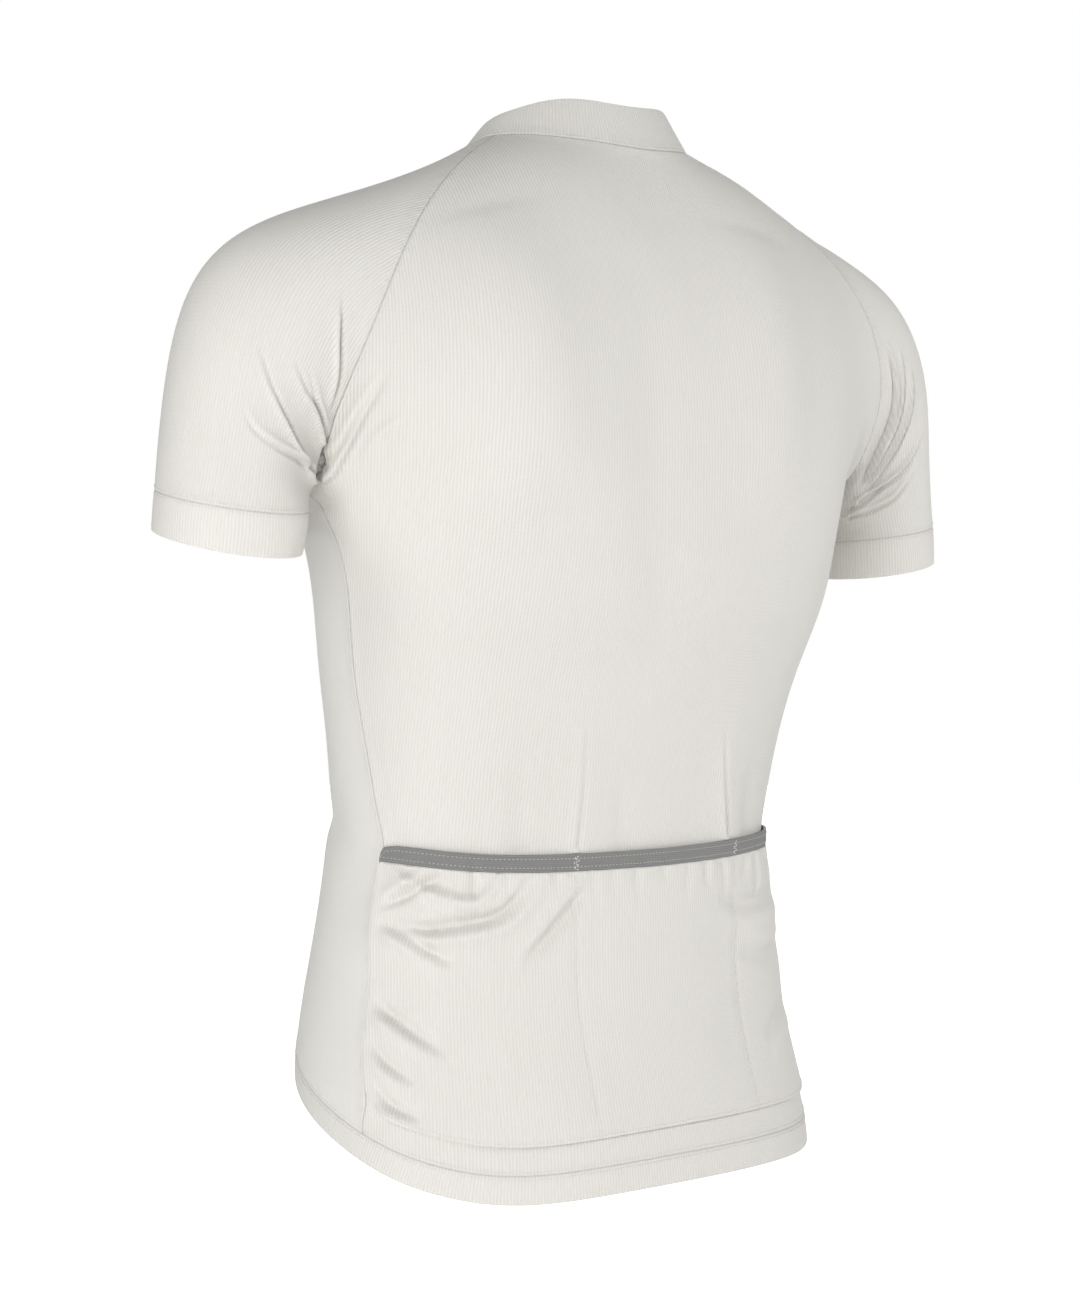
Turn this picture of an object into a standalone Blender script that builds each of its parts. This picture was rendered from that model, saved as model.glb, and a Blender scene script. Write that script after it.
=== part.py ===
"""Short-sleeved cycling jersey with raglan sleeves and back pockets, filled out as if worn.

Metres, +Z up. The front of the jersey faces -Y and the wearer's left is +X. The origin is the
middle of the neck opening, level with the neck seam at the back. The whole cloth is first one
surface, the form. Each cut piece is then a wall made from its own part of that surface.
"""

from math import cos, pi, radians, sin

import bmesh
import bpy
import numpy as np
from mathutils import Matrix, Vector

# Cloth and seams
CLOTH = 0.0016  # wall of the knitted panels
BAND_CLOTH = 0.0022  # wall of the doubled bands at hem, cuffs and collar
ELASTIC = 0.0020  # wall of the grey elastic on the pockets
SEAM_GAP = 0.0003  # between neighbouring pieces
POCKET_GAP = 0.0004  # between the back and the sewn edges of the pocket piece
POCKET_FULLNESS = 0.0030  # how far the middle of a pocket stands off the back
WELD = 1e-6

# Zip slider and its pull tab, in the slider's own directions: x across, y out of the cloth, z up
SLIDER_HEIGHT = -0.0450  # of the slider's middle
SLIDER_GAP = 0.0003  # over the tapes
SLIDER_SIZE = (0.0080, 0.0036, 0.0090)
BRIDGE_SIZE = (0.0020, 0.0033, 0.0064)
BRIDGE_EYE = (0.0040, 0.0023, 0.0038)
PIVOT_RISE = 0.0013  # of the tab's cross bar over the slider's face
PULL_SIZE = (0.0052, 0.0014, 0.0200)
PULL_BAR = 0.0012  # thickness of the tab's cross bar
PULL_WINDOW = (0.0032, 0.0050, 0.0036)
PULL_REST = radians(14)  # how far the hanging tab leans out, over the chest
METAL_BEVEL = 0.0003

# Grid of the form: spaces between lines on half a ring, then between rows
BACK_SPACES = 6  # centre back to back raglan seam
CAP_SPACES = 8  # back raglan seam to front raglan seam, over the shoulder
FRONT_SPACES = 6  # front raglan seam to zip
YOKE_SPACES = 7  # neck seam to underarm
UNDERARM_SPACES = 6  # underarm to pocket top
POCKET_SPACES = 4  # elastic to pocket foot
RING_SHAPE = 2.3  # power of the rings: 2 is an ellipse, more is squarer
DENSE = 240  # points on a line that is measured for length

# Bands
ZIP_HALF_WIDTH = 0.0050
HEM_HEIGHT = 0.0185
POCKET_FOOT_RISE = 0.0350  # of the pocket's foot over the hem
ELASTIC_HEIGHT = 0.0130
CUFF_HEIGHT = 0.0250

# The yoke, from the neck seam (share 0) to the underarm (share 1), as nine lines from centre back
# to centre front on the wearer's left.
YOKE_SHARES = (0.0, 0.2, 0.4, 0.6, 0.8, 1.0)
YOKE_LINES = (
    # name, then the place at each share
    ("back_centre", (0.000, 0.066, 0.000), (0.000, 0.088, -0.040), (0.000, 0.106, -0.083),
     (0.000, 0.118, -0.128), (0.000, 0.124, -0.175), (0.000, 0.124, -0.222)),
    ("back_middle", (0.046, 0.052, 0.004), (0.075, 0.077, -0.024), (0.100, 0.094, -0.063),
     (0.124, 0.108, -0.111), (0.139, 0.112, -0.164), (0.143, 0.111, -0.222)),
    ("back_seam", (0.081, 0.008, 0.008), (0.128, 0.031, -0.013), (0.172, 0.053, -0.047),
     (0.208, 0.068, -0.096), (0.233, 0.056, -0.157), (0.231, 0.020, -0.213)),
    ("sleeve_back", (0.082, -0.004, 0.007), (0.134, 0.020, -0.016), (0.197, 0.036, -0.043),
     (0.262, 0.052, -0.080), (0.288, 0.054, -0.143), (0.286, 0.048, -0.209)),
    ("shoulder", (0.081, -0.018, 0.004), (0.138, -0.003, -0.021), (0.208, -0.002, -0.042),
     (0.289, -0.006, -0.069), (0.315, -0.007, -0.133), (0.329, -0.007, -0.207)),
    ("sleeve_front", (0.079, -0.033, -0.004), (0.132, -0.040, -0.032), (0.194, -0.056, -0.062),
     (0.262, -0.068, -0.090), (0.279, -0.071, -0.150), (0.284, -0.066, -0.209)),
    ("front_seam", (0.074, -0.047, -0.012), (0.112, -0.070, -0.045), (0.150, -0.092, -0.088),
     (0.184, -0.099, -0.133), (0.213, -0.084, -0.178), (0.228, -0.046, -0.213)),
    ("front_middle", (0.046, -0.080, -0.042), (0.067, -0.100, -0.076), (0.090, -0.115, -0.112),
     (0.113, -0.124, -0.148), (0.131, -0.128, -0.186), (0.140, -0.126, -0.222)),
    ("front_centre", (0.000, -0.095, -0.062), (0.000, -0.108, -0.095), (0.000, -0.119, -0.127),
     (0.000, -0.128, -0.158), (0.000, -0.134, -0.190), (0.000, -0.136, -0.222)),
)
UNDERARM = (0.222, -0.012, -0.218)  # where the side seam ends, in the fork of body and sleeve

# Rings of the body below the underarm
BODY_RINGS = (
    # height, half width, y of the back, y of the front, y of the side seam
    (-0.222, 0.2140, 0.1240, -0.1360, -0.010),
    (-0.255, 0.1990, 0.1260, -0.1320, -0.010),
    (-0.285, 0.1930, 0.1260, -0.1300, -0.017),
    (-0.345, 0.1775, 0.0990, -0.1375, -0.020),
    (-0.405, 0.1655, 0.0850, -0.1350, -0.014),
    (-0.445, 0.1630, 0.0760, -0.1400, -0.009),
    (-0.505, 0.1690, 0.0760, -0.1470, -0.010),
    (-0.565, 0.1790, 0.0760, -0.1550, -0.006),
    (-0.605, 0.1870, 0.0900, -0.1550, -0.001),
    (-0.650, 0.1890, 0.1040, -0.1490, 0.008),
    (-0.700, 0.1890, 0.1070, -0.1470, 0.008),
)
HEM_LINE = (
    # share of the way from centre back to centre front, height on the left, height on the right
    (0.00, -0.673, -0.673), (0.10, -0.677, -0.670), (0.20, -0.681, -0.668), (0.30, -0.679, -0.666),
    (0.38, -0.672, -0.661), (0.50, -0.657, -0.650), (0.62, -0.627, -0.622), (0.72, -0.604, -0.602),
    (0.85, -0.590, -0.589), (1.00, -0.586, -0.586),
)
POCKET_TOP = (
    # share from centre back to centre front, height on the left, height on the right
    (0.00, -0.457, -0.457), (0.25, -0.459, -0.450), (0.50, -0.452, -0.445), (1.00, -0.452, -0.448),
)

# Sleeves below the underarm
CUFF_CENTRE = (0.2815, -0.0075)  # x and y
CUFF_RADII = (0.0495, 0.0525)  # across the body, and front to back
SLEEVE_FLARE = 0.0020  # how much wider the sleeve is at the top of its cuff
SIDES = (
    # name, sign of x, height of the cuff's centre, rise of its plane outwards, rise backwards
    ("left", 1, -0.2625, 0.01, -0.25),
    ("right", -1, -0.2660, 0.20, -0.08),
)

# Collar, by share of the way from centre back to centre front
COLLAR = (
    # share, height of its top over its seam, how far it leans in
    (0.00, 0.0300, 0.0150), (0.25, 0.0265, 0.0140), (0.35, 0.0190, 0.0130), (0.60, 0.0160, 0.0120),
    (0.75, 0.0220, 0.0100), (1.00, 0.0300, 0.0090),
)
COLLAR_CREASE = 0.6

# Pockets: three, between the side seams and two stitched seams
POCKET_SEAMS = (-0.079, 0.064)
POCKET_LEVELS = (-0.466, -0.640)  # top of the pocket cloth under the elastic, and its foot
POCKET_MOUTH = 0.2  # share of the fullness curve that the mouth starts at
POCKET_EDGE = 0.0010  # from the pocket's side edges to the side seams

# The largest folds: soft ridges (height above 0) and troughs, strongest near their start
FOLDS = (
    # start, end, reach to each side, height
    # left sleeve, fanning up from the underarm
    ((0.242, 0.031, -0.218), (0.297, 0.044, -0.132), 0.013, -0.0055),
    ((0.247, 0.030, -0.228), (0.308, 0.034, -0.178), 0.012, -0.0045),
    ((0.229, 0.034, -0.205), (0.244, 0.062, -0.110), 0.013, -0.0055),
    ((0.285, -0.066, -0.195), (0.245, -0.055, -0.222), 0.013, -0.0045),
    ((0.238, -0.060, -0.200), (0.268, -0.078, -0.130), 0.013, -0.0055),
    # right sleeve
    ((-0.236, 0.033, -0.205), (-0.254, 0.058, -0.130), 0.013, -0.0055),
    ((-0.242, 0.027, -0.222), (-0.292, 0.043, -0.176), 0.012, -0.0050),
    ((-0.243, -0.058, -0.210), (-0.288, -0.072, -0.150), 0.013, -0.0055),
    # body beside the underarms, back and front
    ((0.226, 0.029, -0.213), (0.212, 0.064, -0.155), 0.013, -0.0050),
    ((-0.224, 0.032, -0.213), (-0.206, 0.070, -0.160), 0.013, -0.0035),
    ((0.224, -0.052, -0.215), (0.190, -0.104, -0.160), 0.014, -0.0050),
    ((-0.224, -0.052, -0.215), (-0.186, -0.104, -0.150), 0.014, -0.0050),
    # back, standing over the pocket seams
    ((0.060, 0.075, -0.456), (0.064, 0.085, -0.360), 0.015, 0.0030),
    ((-0.070, 0.074, -0.450), (-0.060, 0.082, -0.375), 0.015, 0.0035),
    # pockets
    ((0.166, -0.008, -0.500), (0.140, 0.040, -0.505), 0.013, 0.0035),
    ((0.102, 0.065, -0.474), (0.136, 0.046, -0.506), 0.013, 0.0035),
    ((0.168, 0.000, -0.545), (0.150, 0.046, -0.590), 0.013, -0.0040),
    ((-0.142, 0.034, -0.494), (-0.080, 0.072, -0.500), 0.012, 0.0040),
    ((-0.150, 0.030, -0.538), (-0.080, 0.074, -0.530), 0.012, 0.0040),
    # fronts at the waist
    ((0.160, -0.060, -0.440), (0.080, -0.128, -0.430), 0.015, -0.0040),
    ((-0.160, -0.060, -0.450), (-0.075, -0.128, -0.425), 0.015, -0.0040),
)


def soft(knots, values, at):
    """Values at the places `at` on a soft curve through the knots."""
    knots, values, at = (np.asarray(a, float) for a in (knots, values, at))
    slopes = np.gradient(values, knots, axis=0)
    i = np.clip(np.searchsorted(knots, at) - 1, 0, len(knots) - 2)
    width = knots[i + 1] - knots[i]
    t = (at - knots[i]) / width
    if values.ndim > 1:
        width, t = width[..., None], t[..., None]
    rise = values[i + 1] - values[i]
    bend_in, bend_out = slopes[i] * width - rise, rise - slopes[i + 1] * width
    return values[i] + rise * t + t * (1 - t) * (bend_in * (1 - t) + bend_out * t)


def lengths(line):
    """Length along a line up to each of its points."""
    return np.concatenate(([0.0], np.linalg.norm(np.diff(line, axis=0), axis=1).cumsum()))


def evenly(line, spaces):
    """Points at even distances along a line."""
    far = lengths(line)
    wanted = np.linspace(0.0, far[-1], spaces + 1)
    return np.stack([np.interp(wanted, far, line[:, k]) for k in range(3)], axis=1)


def mirrored(point):
    return np.asarray(point) * (-1, 1, 1)


def round_ring(left, right):
    """A closed ring from its half on each side, both from centre back to the zip."""
    return np.concatenate((left, mirrored(right)[:0:-1]))


def yoke_half(share):
    """Points of a yoke row on the wearer's left, from centre back to the zip's edge."""
    keys = [soft(YOKE_SHARES, line[1:], share) for line in YOKE_LINES]
    keys = np.array([mirrored(keys[1]), *keys, mirrored(keys[-2])])
    far = lengths(keys)
    dense = soft(far, keys, np.linspace(far[1], far[-2], DENSE))
    ends = [int(abs(dense - keys[k]).sum(axis=1).argmin()) for k in (3, 7)]
    zip_end = int(np.flatnonzero(dense[:, 0] > ZIP_HALF_WIDTH)[-1]) + 1
    parts = (
        evenly(dense[: ends[0] + 1], BACK_SPACES),
        evenly(dense[ends[0] : ends[1] + 1], CAP_SPACES)[1:],
        evenly(dense[ends[1] : zip_end], FRONT_SPACES)[1:],
    )
    half = np.concatenate(parts)
    half[0, 0], half[-1, 0] = 0.0, ZIP_HALF_WIDTH
    return half


def ring_point(height, place, zip_place):
    """Point of the body's ring at a height: place 0 is centre back, 1 the side seam, 2 the zip's edge."""
    wide, back, front, seam = soft([row[0] for row in BODY_RINGS[::-1]],
                                   [row[1:] for row in BODY_RINGS[::-1]], height)
    middle, power = (back + front) / 2, 2 / RING_SHAPE
    deep = (back - front) / 2
    seam_turn = np.arccos(((seam - middle) / deep) ** (1 / power)) if seam > middle else pi / 2
    zip_turn = pi - np.arcsin((ZIP_HALF_WIDTH / wide) ** (1 / power))
    if place <= 1:
        turn = seam_turn * place
    else:
        turn = seam_turn + (zip_turn - seam_turn) * (place - 1) / (zip_place - 1)
    x, y = sin(turn), cos(turn)
    return wide * abs(x) ** power, middle + deep * np.sign(y) * abs(y) ** power, height


def body_rows(top):
    """Rows of the body from the underarm row down to the hem, each as its two halves."""
    spaces = BACK_SPACES + 1 + FRONT_SPACES + 1
    shares = np.arange(spaces + 1) / spaces
    places = np.concatenate((np.arange(BACK_SPACES + 2) / (BACK_SPACES + 1),
                             1 + np.arange(1, FRONT_SPACES + 2) / (FRONT_SPACES + 1)))
    hem, pocket = ([soft([row[0] for row in table], [row[side] for row in table], shares)
                    for side in (1, 2)] for table in (HEM_LINE, POCKET_TOP))
    levels = []
    for k in range(1, UNDERARM_SPACES + 1):
        levels.append([top[:, 2] + (line - top[:, 2]) * k / UNDERARM_SPACES for line in pocket])
    for k in range(POCKET_SPACES + 1):
        levels.append([line - ELASTIC_HEIGHT
                       + (edge + POCKET_FOOT_RISE - line + ELASTIC_HEIGHT) * k / POCKET_SPACES
                       for line, edge in zip(pocket, hem)])
    levels += [[edge + HEM_HEIGHT for edge in hem], hem]
    rows = [(top, top)]
    for pair in levels:
        rows.append([np.array([ring_point(z, place, 2.0) for z, place in zip(level, places)])
                     for level in pair])
    return rows


def cuff_ring(side, rise, flare):
    """Ring of a sleeve a given length above its end, from the back seam line over the shoulder."""
    _, _, height, out_slope, back_slope = side
    spaces = CAP_SPACES + 2
    ring = []
    for k in range(spaces):
        turn = pi * (1 - 2 / spaces) - 2 * pi * k / spaces
        dx, dy = (CUFF_RADII[0] + flare) * cos(turn), (CUFF_RADII[1] + flare) * sin(turn)
        z = height + out_slope * dx + back_slope * dy + rise
        ring.append((CUFF_CENTRE[0] + dx - out_slope * rise, CUFF_CENTRE[1] + dy - back_slope * rise, z))
    return np.array(ring)


def collar_top(half):
    """Top edge of the collar over half of the neck seam."""
    shares = lengths(half) / lengths(half)[-1]
    rise, lean = soft([row[0] for row in COLLAR], [row[1:] for row in COLLAR], shares).T
    axis = np.array((0.0, (half[0, 1] + half[-1, 1]) / 2))
    inward = axis - half[:, :2]
    inward /= np.linalg.norm(inward, axis=1)[:, None]
    top = half + np.column_stack((inward * lean[:, None], rise))
    top[0, 0], top[-1, 0] = 0.0, ZIP_HALF_WIDTH
    return top


# The cut pieces of the form, in the order of the form's material slots
PANELS = ("back", "front_left", "front_right", "sleeve_left", "sleeve_right", "collar",
          "cuff_left", "cuff_right", "hem_band", "zip_tape_left", "zip_tape_right")
BACK, FRONT_L, FRONT_R, SLEEVE_L, SLEEVE_R, NECK, CUFF_L, CUFF_R, HEM, ZIP_L, ZIP_R = range(11)
UNDER_ELASTIC, UNDER_POCKET = 11, 12  # parts of the back that the pocket pieces lie on
DOUBLED = (NECK, CUFF_L, CUFF_R, HEM)


def add_grid(form, rows, labels):
    """Faces between rings: labels give each row's piece for each space round the ring."""
    lines = [[form.verts.new(point) for point in row] for row in rows]
    for upper, lower, pieces in zip(lines, lines[1:], labels):
        for k, piece in enumerate(pieces):
            after = (k + 1) % len(upper)
            face = form.faces.new((upper[k], upper[after], lower[after], lower[k]))
            face.material_index = piece
            face.smooth = True


def build_form():
    """The whole cloth as one surface, smoothed from its grid."""
    form = bmesh.new()
    yoke = [yoke_half(k / YOKE_SPACES) for k in range(YOKE_SPACES + 1)]
    around = ([BACK] * BACK_SPACES + [SLEEVE_L] * CAP_SPACES + [FRONT_L] * FRONT_SPACES + [ZIP_L]
              + [FRONT_R] * FRONT_SPACES + [SLEEVE_R] * CAP_SPACES + [BACK] * BACK_SPACES)
    add_grid(form, [round_ring(half, half) for half in yoke], [around] * YOKE_SPACES)

    top = collar_top(yoke[0])
    collar = [ZIP_L if piece == ZIP_L else NECK for piece in around]
    add_grid(form, [round_ring(top, top), round_ring(yoke[0], yoke[0])], [collar])

    under = yoke[-1]
    cap_end = BACK_SPACES + CAP_SPACES
    top = np.concatenate((under[: BACK_SPACES + 1], [UNDERARM], under[cap_end:]))
    rows = body_rows(top)
    sides = ([BACK] * (BACK_SPACES + 1) + [FRONT_L] * (FRONT_SPACES + 1) + [ZIP_L]
             + [FRONT_R] * (FRONT_SPACES + 1) + [BACK] * (BACK_SPACES + 1))
    elastic, pocket, hem = ([after if piece in before else piece for piece in sides]
                            for before, after in (((BACK,), UNDER_ELASTIC), ((BACK,), UNDER_POCKET),
                                                  ((BACK, FRONT_L, FRONT_R), HEM)))
    labels = [sides] * UNDERARM_SPACES + [elastic] + [pocket] * POCKET_SPACES + [sides, hem]
    add_grid(form, [round_ring(*row) for row in rows], labels)

    for side, sleeve, cuff in zip(SIDES, (SLEEVE_L, SLEEVE_R), (CUFF_L, CUFF_R)):
        start = np.concatenate((under[BACK_SPACES : cap_end + 1], [UNDERARM]))
        rings = [start, cuff_ring(side, CUFF_HEIGHT, SLEEVE_FLARE), cuff_ring(side, 0.0, 0.0)]
        if side[1] < 0:
            rings = [mirrored(ring)[::-1] for ring in rings]
        add_grid(form, rings, [[sleeve] * len(start), [cuff] * len(start)])

    bmesh.ops.remove_doubles(form, verts=form.verts, dist=WELD)
    crease = form.edges.layers.float.new("crease_edge")
    for edge in form.edges:
        pieces = {face.material_index for face in edge.link_faces}
        if len(pieces) > 1 and pieces & {ZIP_L, HEM, UNDER_ELASTIC, UNDER_POCKET}:
            edge[crease] = 1.0
        elif len(pieces) > 1 and NECK in pieces:
            edge[crease] = COLLAR_CREASE

    mesh = bpy.data.meshes.new("form")
    form.to_mesh(mesh)
    form.free()
    for _ in range(UNDER_POCKET + 1):
        mesh.materials.append(None)
    cage = bpy.data.objects.new("form", mesh)
    bpy.context.scene.collection.objects.link(cage)
    smoothing = cage.modifiers.new("smoothing", "SUBSURF")
    smoothing.levels = smoothing.render_levels = 1
    graph = bpy.context.evaluated_depsgraph_get()
    surface = bpy.data.meshes.new_from_object(cage.evaluated_get(graph))
    bpy.data.objects.remove(cage)
    return surface


def fold(surface):
    """Presses the large folds into the form."""
    points = np.array([vertex.co for vertex in surface.vertices])
    normals = np.array([vertex.normal for vertex in surface.vertices])
    for start, end, reach, height in FOLDS:
        line = np.subtract(end, start)
        share = np.clip((points - start) @ line / (line @ line), 0, 1)
        away = np.linalg.norm(points - start - share[:, None] * line, axis=1)
        strength = height * (1 - share**2) * np.exp(-((away / reach) ** 2))
        points += normals * strength[:, None]
    for vertex, point in zip(surface.vertices, points):
        vertex.co = point
    surface.update()


def read_surface(surface):
    """Points, their normals, faces and the faces' pieces, with the zip's strip parted down its middle."""
    points = np.array([vertex.co for vertex in surface.vertices])
    normals = np.array([vertex.normal for vertex in surface.vertices])
    faces = [tuple(face.vertices) for face in surface.polygons]
    pieces = [face.material_index for face in surface.polygons]
    for k, piece in enumerate(pieces):
        if piece == ZIP_L and points[list(faces[k]), 0].mean() < 0:
            pieces[k] = ZIP_R
    return points, normals, faces, pieces


def rim(faces):
    """Edges with a face on one side only, in the direction of that face."""
    edges = {(face[k], face[(k + 1) % len(face)]) for face in faces for k in range(len(face))}
    return [edge for edge in edges if edge[::-1] not in edges]


def drawn_in(points, normals, faces, distance):
    """How each point moves for the piece to end a given distance inside its outline."""
    move = np.zeros_like(points)
    inward = {}
    for a, b in rim(faces):
        for vertex in (a, b):
            across = np.cross(normals[vertex], points[b] - points[a])
            inward.setdefault(vertex, []).append(across / np.linalg.norm(across))
    for vertex, (first, second) in inward.items():
        turn = max(1 + float(first @ second), 0.4)
        move[vertex] = (first + second) * distance / turn
    return move


def add_wall(name, outer, inner, faces, material):
    """A closed wall between two sheets of points that share their faces."""
    mesh = bmesh.new()
    used = sorted({vertex for face in faces for vertex in face})
    outside = {vertex: mesh.verts.new(outer[vertex]) for vertex in used}
    inside = {vertex: mesh.verts.new(inner[vertex]) for vertex in used}
    for face in faces:
        mesh.faces.new([outside[vertex] for vertex in face]).smooth = True
        mesh.faces.new([inside[vertex] for vertex in reversed(face)]).smooth = True
    for a, b in rim(faces):
        mesh.faces.new((outside[b], outside[a], inside[a], inside[b]))
    return add_object(name, mesh, material, jersey)


def add_object(name, mesh, material, collection):
    data = bpy.data.meshes.new(name)
    mesh.to_mesh(data)
    mesh.free()
    data.materials.append(material)
    piece = bpy.data.objects.new(name, data)
    collection.objects.link(piece)
    return piece


def add_material(name, colour, roughness, metallic=0.0):
    material = bpy.data.materials.new(name)
    material.use_nodes = True
    shader = material.node_tree.nodes["Principled BSDF"]
    shader.inputs["Base Color"].default_value = (*colour, 1.0)
    shader.inputs["Roughness"].default_value = roughness
    shader.inputs["Metallic"].default_value = metallic
    return material


def build_panels(points, normals, faces, pieces):
    for number, name in enumerate(PANELS):
        wanted = (BACK, UNDER_ELASTIC, UNDER_POCKET) if number == BACK else (number,)
        own = [face for face, piece in zip(faces, pieces) if piece in wanted]
        outer = points + drawn_in(points, normals, own, SEAM_GAP / 2)
        inner = outer - normals * (BAND_CLOTH if number in DOUBLED else CLOTH)
        add_wall(name, outer, inner, own, materials["tape" if number in (ZIP_L, ZIP_R) else "knit"])


def pocket_stand(points):
    """How far the pocket cloth stands off the back at each point."""
    heights, widths = zip(*[row[:2] for row in BODY_RINGS[::-1]])
    wide = np.interp(points[:, 2], heights, widths)
    seams = [-wide, *(np.full_like(wide, x) for x in POCKET_SEAMS), wide]
    across = np.zeros_like(wide)
    for left, right in zip(seams, seams[1:]):
        share = (points[:, 0] - left) / (right - left)
        across += np.where((share > 0) & (share < 1), np.sin(pi * share), 0.0)
    down = np.clip((POCKET_LEVELS[0] - points[:, 2]) / (POCKET_LEVELS[0] - POCKET_LEVELS[1]), 0, 1)
    bulge = np.sin(pi * (POCKET_MOUTH + (1 - POCKET_MOUTH) * down))
    return POCKET_GAP + POCKET_FULLNESS * across * bulge


def build_pockets(points, normals, faces, pieces):
    """The pocket cloth and the elastic on its top edge, from the back's own points moved out."""
    whole = [face for face, piece in zip(faces, pieces) if piece in (UNDER_ELASTIC, UNDER_POCKET)]
    sides = drawn_in(points, normals, whole, POCKET_EDGE)
    inner = points + sides + normals * pocket_stand(points)[:, None]
    for name, source, wall, slot in (("pocket_panel", UNDER_POCKET, CLOTH, "knit"),
                                     ("pocket_elastic", UNDER_ELASTIC, ELASTIC, "elastic")):
        own = [face for face, piece in zip(faces, pieces) if piece == source]
        inside = inner + drawn_in(points, normals, own, SEAM_GAP / 2)
        add_wall(name, inside + normals * wall, inside, own, materials[slot])


def add_block(name, size, centre, place, material=None, bevel=0.0):
    """A rectangular block; without a material it is a cutter."""
    mesh = bmesh.new()
    bmesh.ops.create_cube(mesh, size=1, matrix=Matrix.Translation(centre) @ Matrix.Diagonal((*size, 1)))
    block = add_object(name, mesh, material, jersey if material else cutters)
    block.matrix_world = place
    if bevel:
        edge = block.modifiers.new("edges", "BEVEL")
        edge.width, edge.segments = bevel, 2
    if not material:
        block.hide_render = True
        block.display_type = "WIRE"
    return block


def combine(block, other, operation):
    change = block.modifiers.new(operation.lower(), "BOOLEAN")
    change.operation, change.object, change.solver = operation, other, "EXACT"


def build_slider(points):
    """The closed zip's slider near the top of the collar, with the tab that swings on its bridge."""
    front = points[(abs(points[:, 0]) < WELD) & (points[:, 1] < 0)]
    front = front[front[:, 2].argsort()]
    step = SLIDER_SIZE[2] / 2
    low, y, high = np.interp(SLIDER_HEIGHT + np.array((-step, 0, step)), front[:, 2], front[:, 1])
    lean = np.arctan2(high - low, 2 * step)
    place = Matrix.Translation((0, y, SLIDER_HEIGHT)) @ Matrix.Rotation(-lean, 4, "X")
    face = -SLIDER_GAP - SLIDER_SIZE[1]
    slider = add_block("zip_slider", SLIDER_SIZE, (0, face + SLIDER_SIZE[1] / 2, 0), place,
                       materials["metal"], METAL_BEVEL)
    bridge = add_block("slider_bridge", BRIDGE_SIZE, (0, face + WELD - BRIDGE_SIZE[1] / 2, 0), place)
    eye = add_block("slider_eye", BRIDGE_EYE, (0, face - BRIDGE_EYE[1] / 2, 0), place)
    combine(bridge, eye, "DIFFERENCE")
    combine(slider, bridge, "UNION")

    pivot = place @ Vector((0, face - PIVOT_RISE, 0))
    hang = Matrix.Translation(pivot) @ Matrix.Rotation(-PULL_REST, 4, "X")
    tab = add_block("zip_pull", PULL_SIZE, (0, 0, (PULL_BAR - PULL_SIZE[2]) / 2), hang,
                    materials["metal"], METAL_BEVEL)
    window = add_block("pull_window", PULL_WINDOW, (0, 0, -(PULL_BAR + PULL_WINDOW[2]) / 2), hang)
    combine(tab, window, "DIFFERENCE")


for item in list(bpy.data.objects):
    bpy.data.objects.remove(item)
jersey = bpy.data.collections.new("cycling_jersey")
cutters = bpy.data.collections.new("cutters")
cutters.hide_render = True
for collection in (jersey, cutters):
    bpy.context.scene.collection.children.link(collection)
materials = {
    "knit": add_material("off_white_knit", (0.78, 0.76, 0.71), 0.75),
    "elastic": add_material("grey_elastic", (0.25, 0.25, 0.25), 0.8),
    "tape": add_material("white_zip_tape", (0.80, 0.79, 0.76), 0.7),
    "metal": add_material("painted_zip_metal", (0.60, 0.60, 0.59), 0.4, 0.6),
}
form_surface = build_form()
fold(form_surface)
cloth = read_surface(form_surface)
bpy.data.meshes.remove(form_surface)
build_panels(*cloth)
build_pockets(*cloth)
build_slider(cloth[0])
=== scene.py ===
"""Cycling jersey: the knitted, sewn and zipped surfaces over the jersey's solids.

Metres, +Z up, the solids' own frame: the front faces -Y and the wearer's left is +X. Each cloth piece
is a thin shell on the outer face of its solid, with its flat pattern as UV map, so that the ribs of
the knit run along the cut. Creases are listed in the tables below.
"""

from math import cos, pi, radians, sin

import bmesh
import bpy
import numpy as np
from bpy.props import FloatProperty, FloatVectorProperty, PointerProperty
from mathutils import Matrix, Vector
from mathutils.bvhtree import BVHTree
from mathutils.kdtree import KDTree


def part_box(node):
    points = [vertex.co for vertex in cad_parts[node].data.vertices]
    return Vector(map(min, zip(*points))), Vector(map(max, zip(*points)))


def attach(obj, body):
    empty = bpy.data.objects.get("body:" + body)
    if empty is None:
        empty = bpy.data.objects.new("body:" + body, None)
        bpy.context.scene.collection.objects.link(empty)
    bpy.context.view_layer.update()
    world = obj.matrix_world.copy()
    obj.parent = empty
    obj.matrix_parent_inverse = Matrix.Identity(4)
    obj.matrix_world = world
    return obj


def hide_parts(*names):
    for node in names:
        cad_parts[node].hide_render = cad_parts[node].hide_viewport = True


bl_info = {
    "name": "Cycling jersey",
    "version": (1, 0, 0),
    "blender": (4, 5, 0),
    "location": "View3D > Sidebar > Jersey",
    "description": "Dresses a worn-shape cycling jersey in knit, elastic, zip and sewing",
    "category": "Object",
}

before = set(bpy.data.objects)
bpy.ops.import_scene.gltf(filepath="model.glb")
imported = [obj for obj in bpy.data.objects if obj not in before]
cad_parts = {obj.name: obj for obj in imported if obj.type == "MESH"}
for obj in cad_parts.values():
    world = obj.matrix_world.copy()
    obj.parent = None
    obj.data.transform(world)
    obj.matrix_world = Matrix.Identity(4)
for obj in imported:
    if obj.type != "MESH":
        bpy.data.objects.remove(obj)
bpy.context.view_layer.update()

MERGE = 1e-5
FOLDED_EDGE = radians(30)  # sharper edges part a wall's faces from its rim
CORNER = radians(60)  # where a border turns more than this, the cloth has a corner
SMOOTH_EDGE = radians(65)  # between faces that are shaded as one

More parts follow.
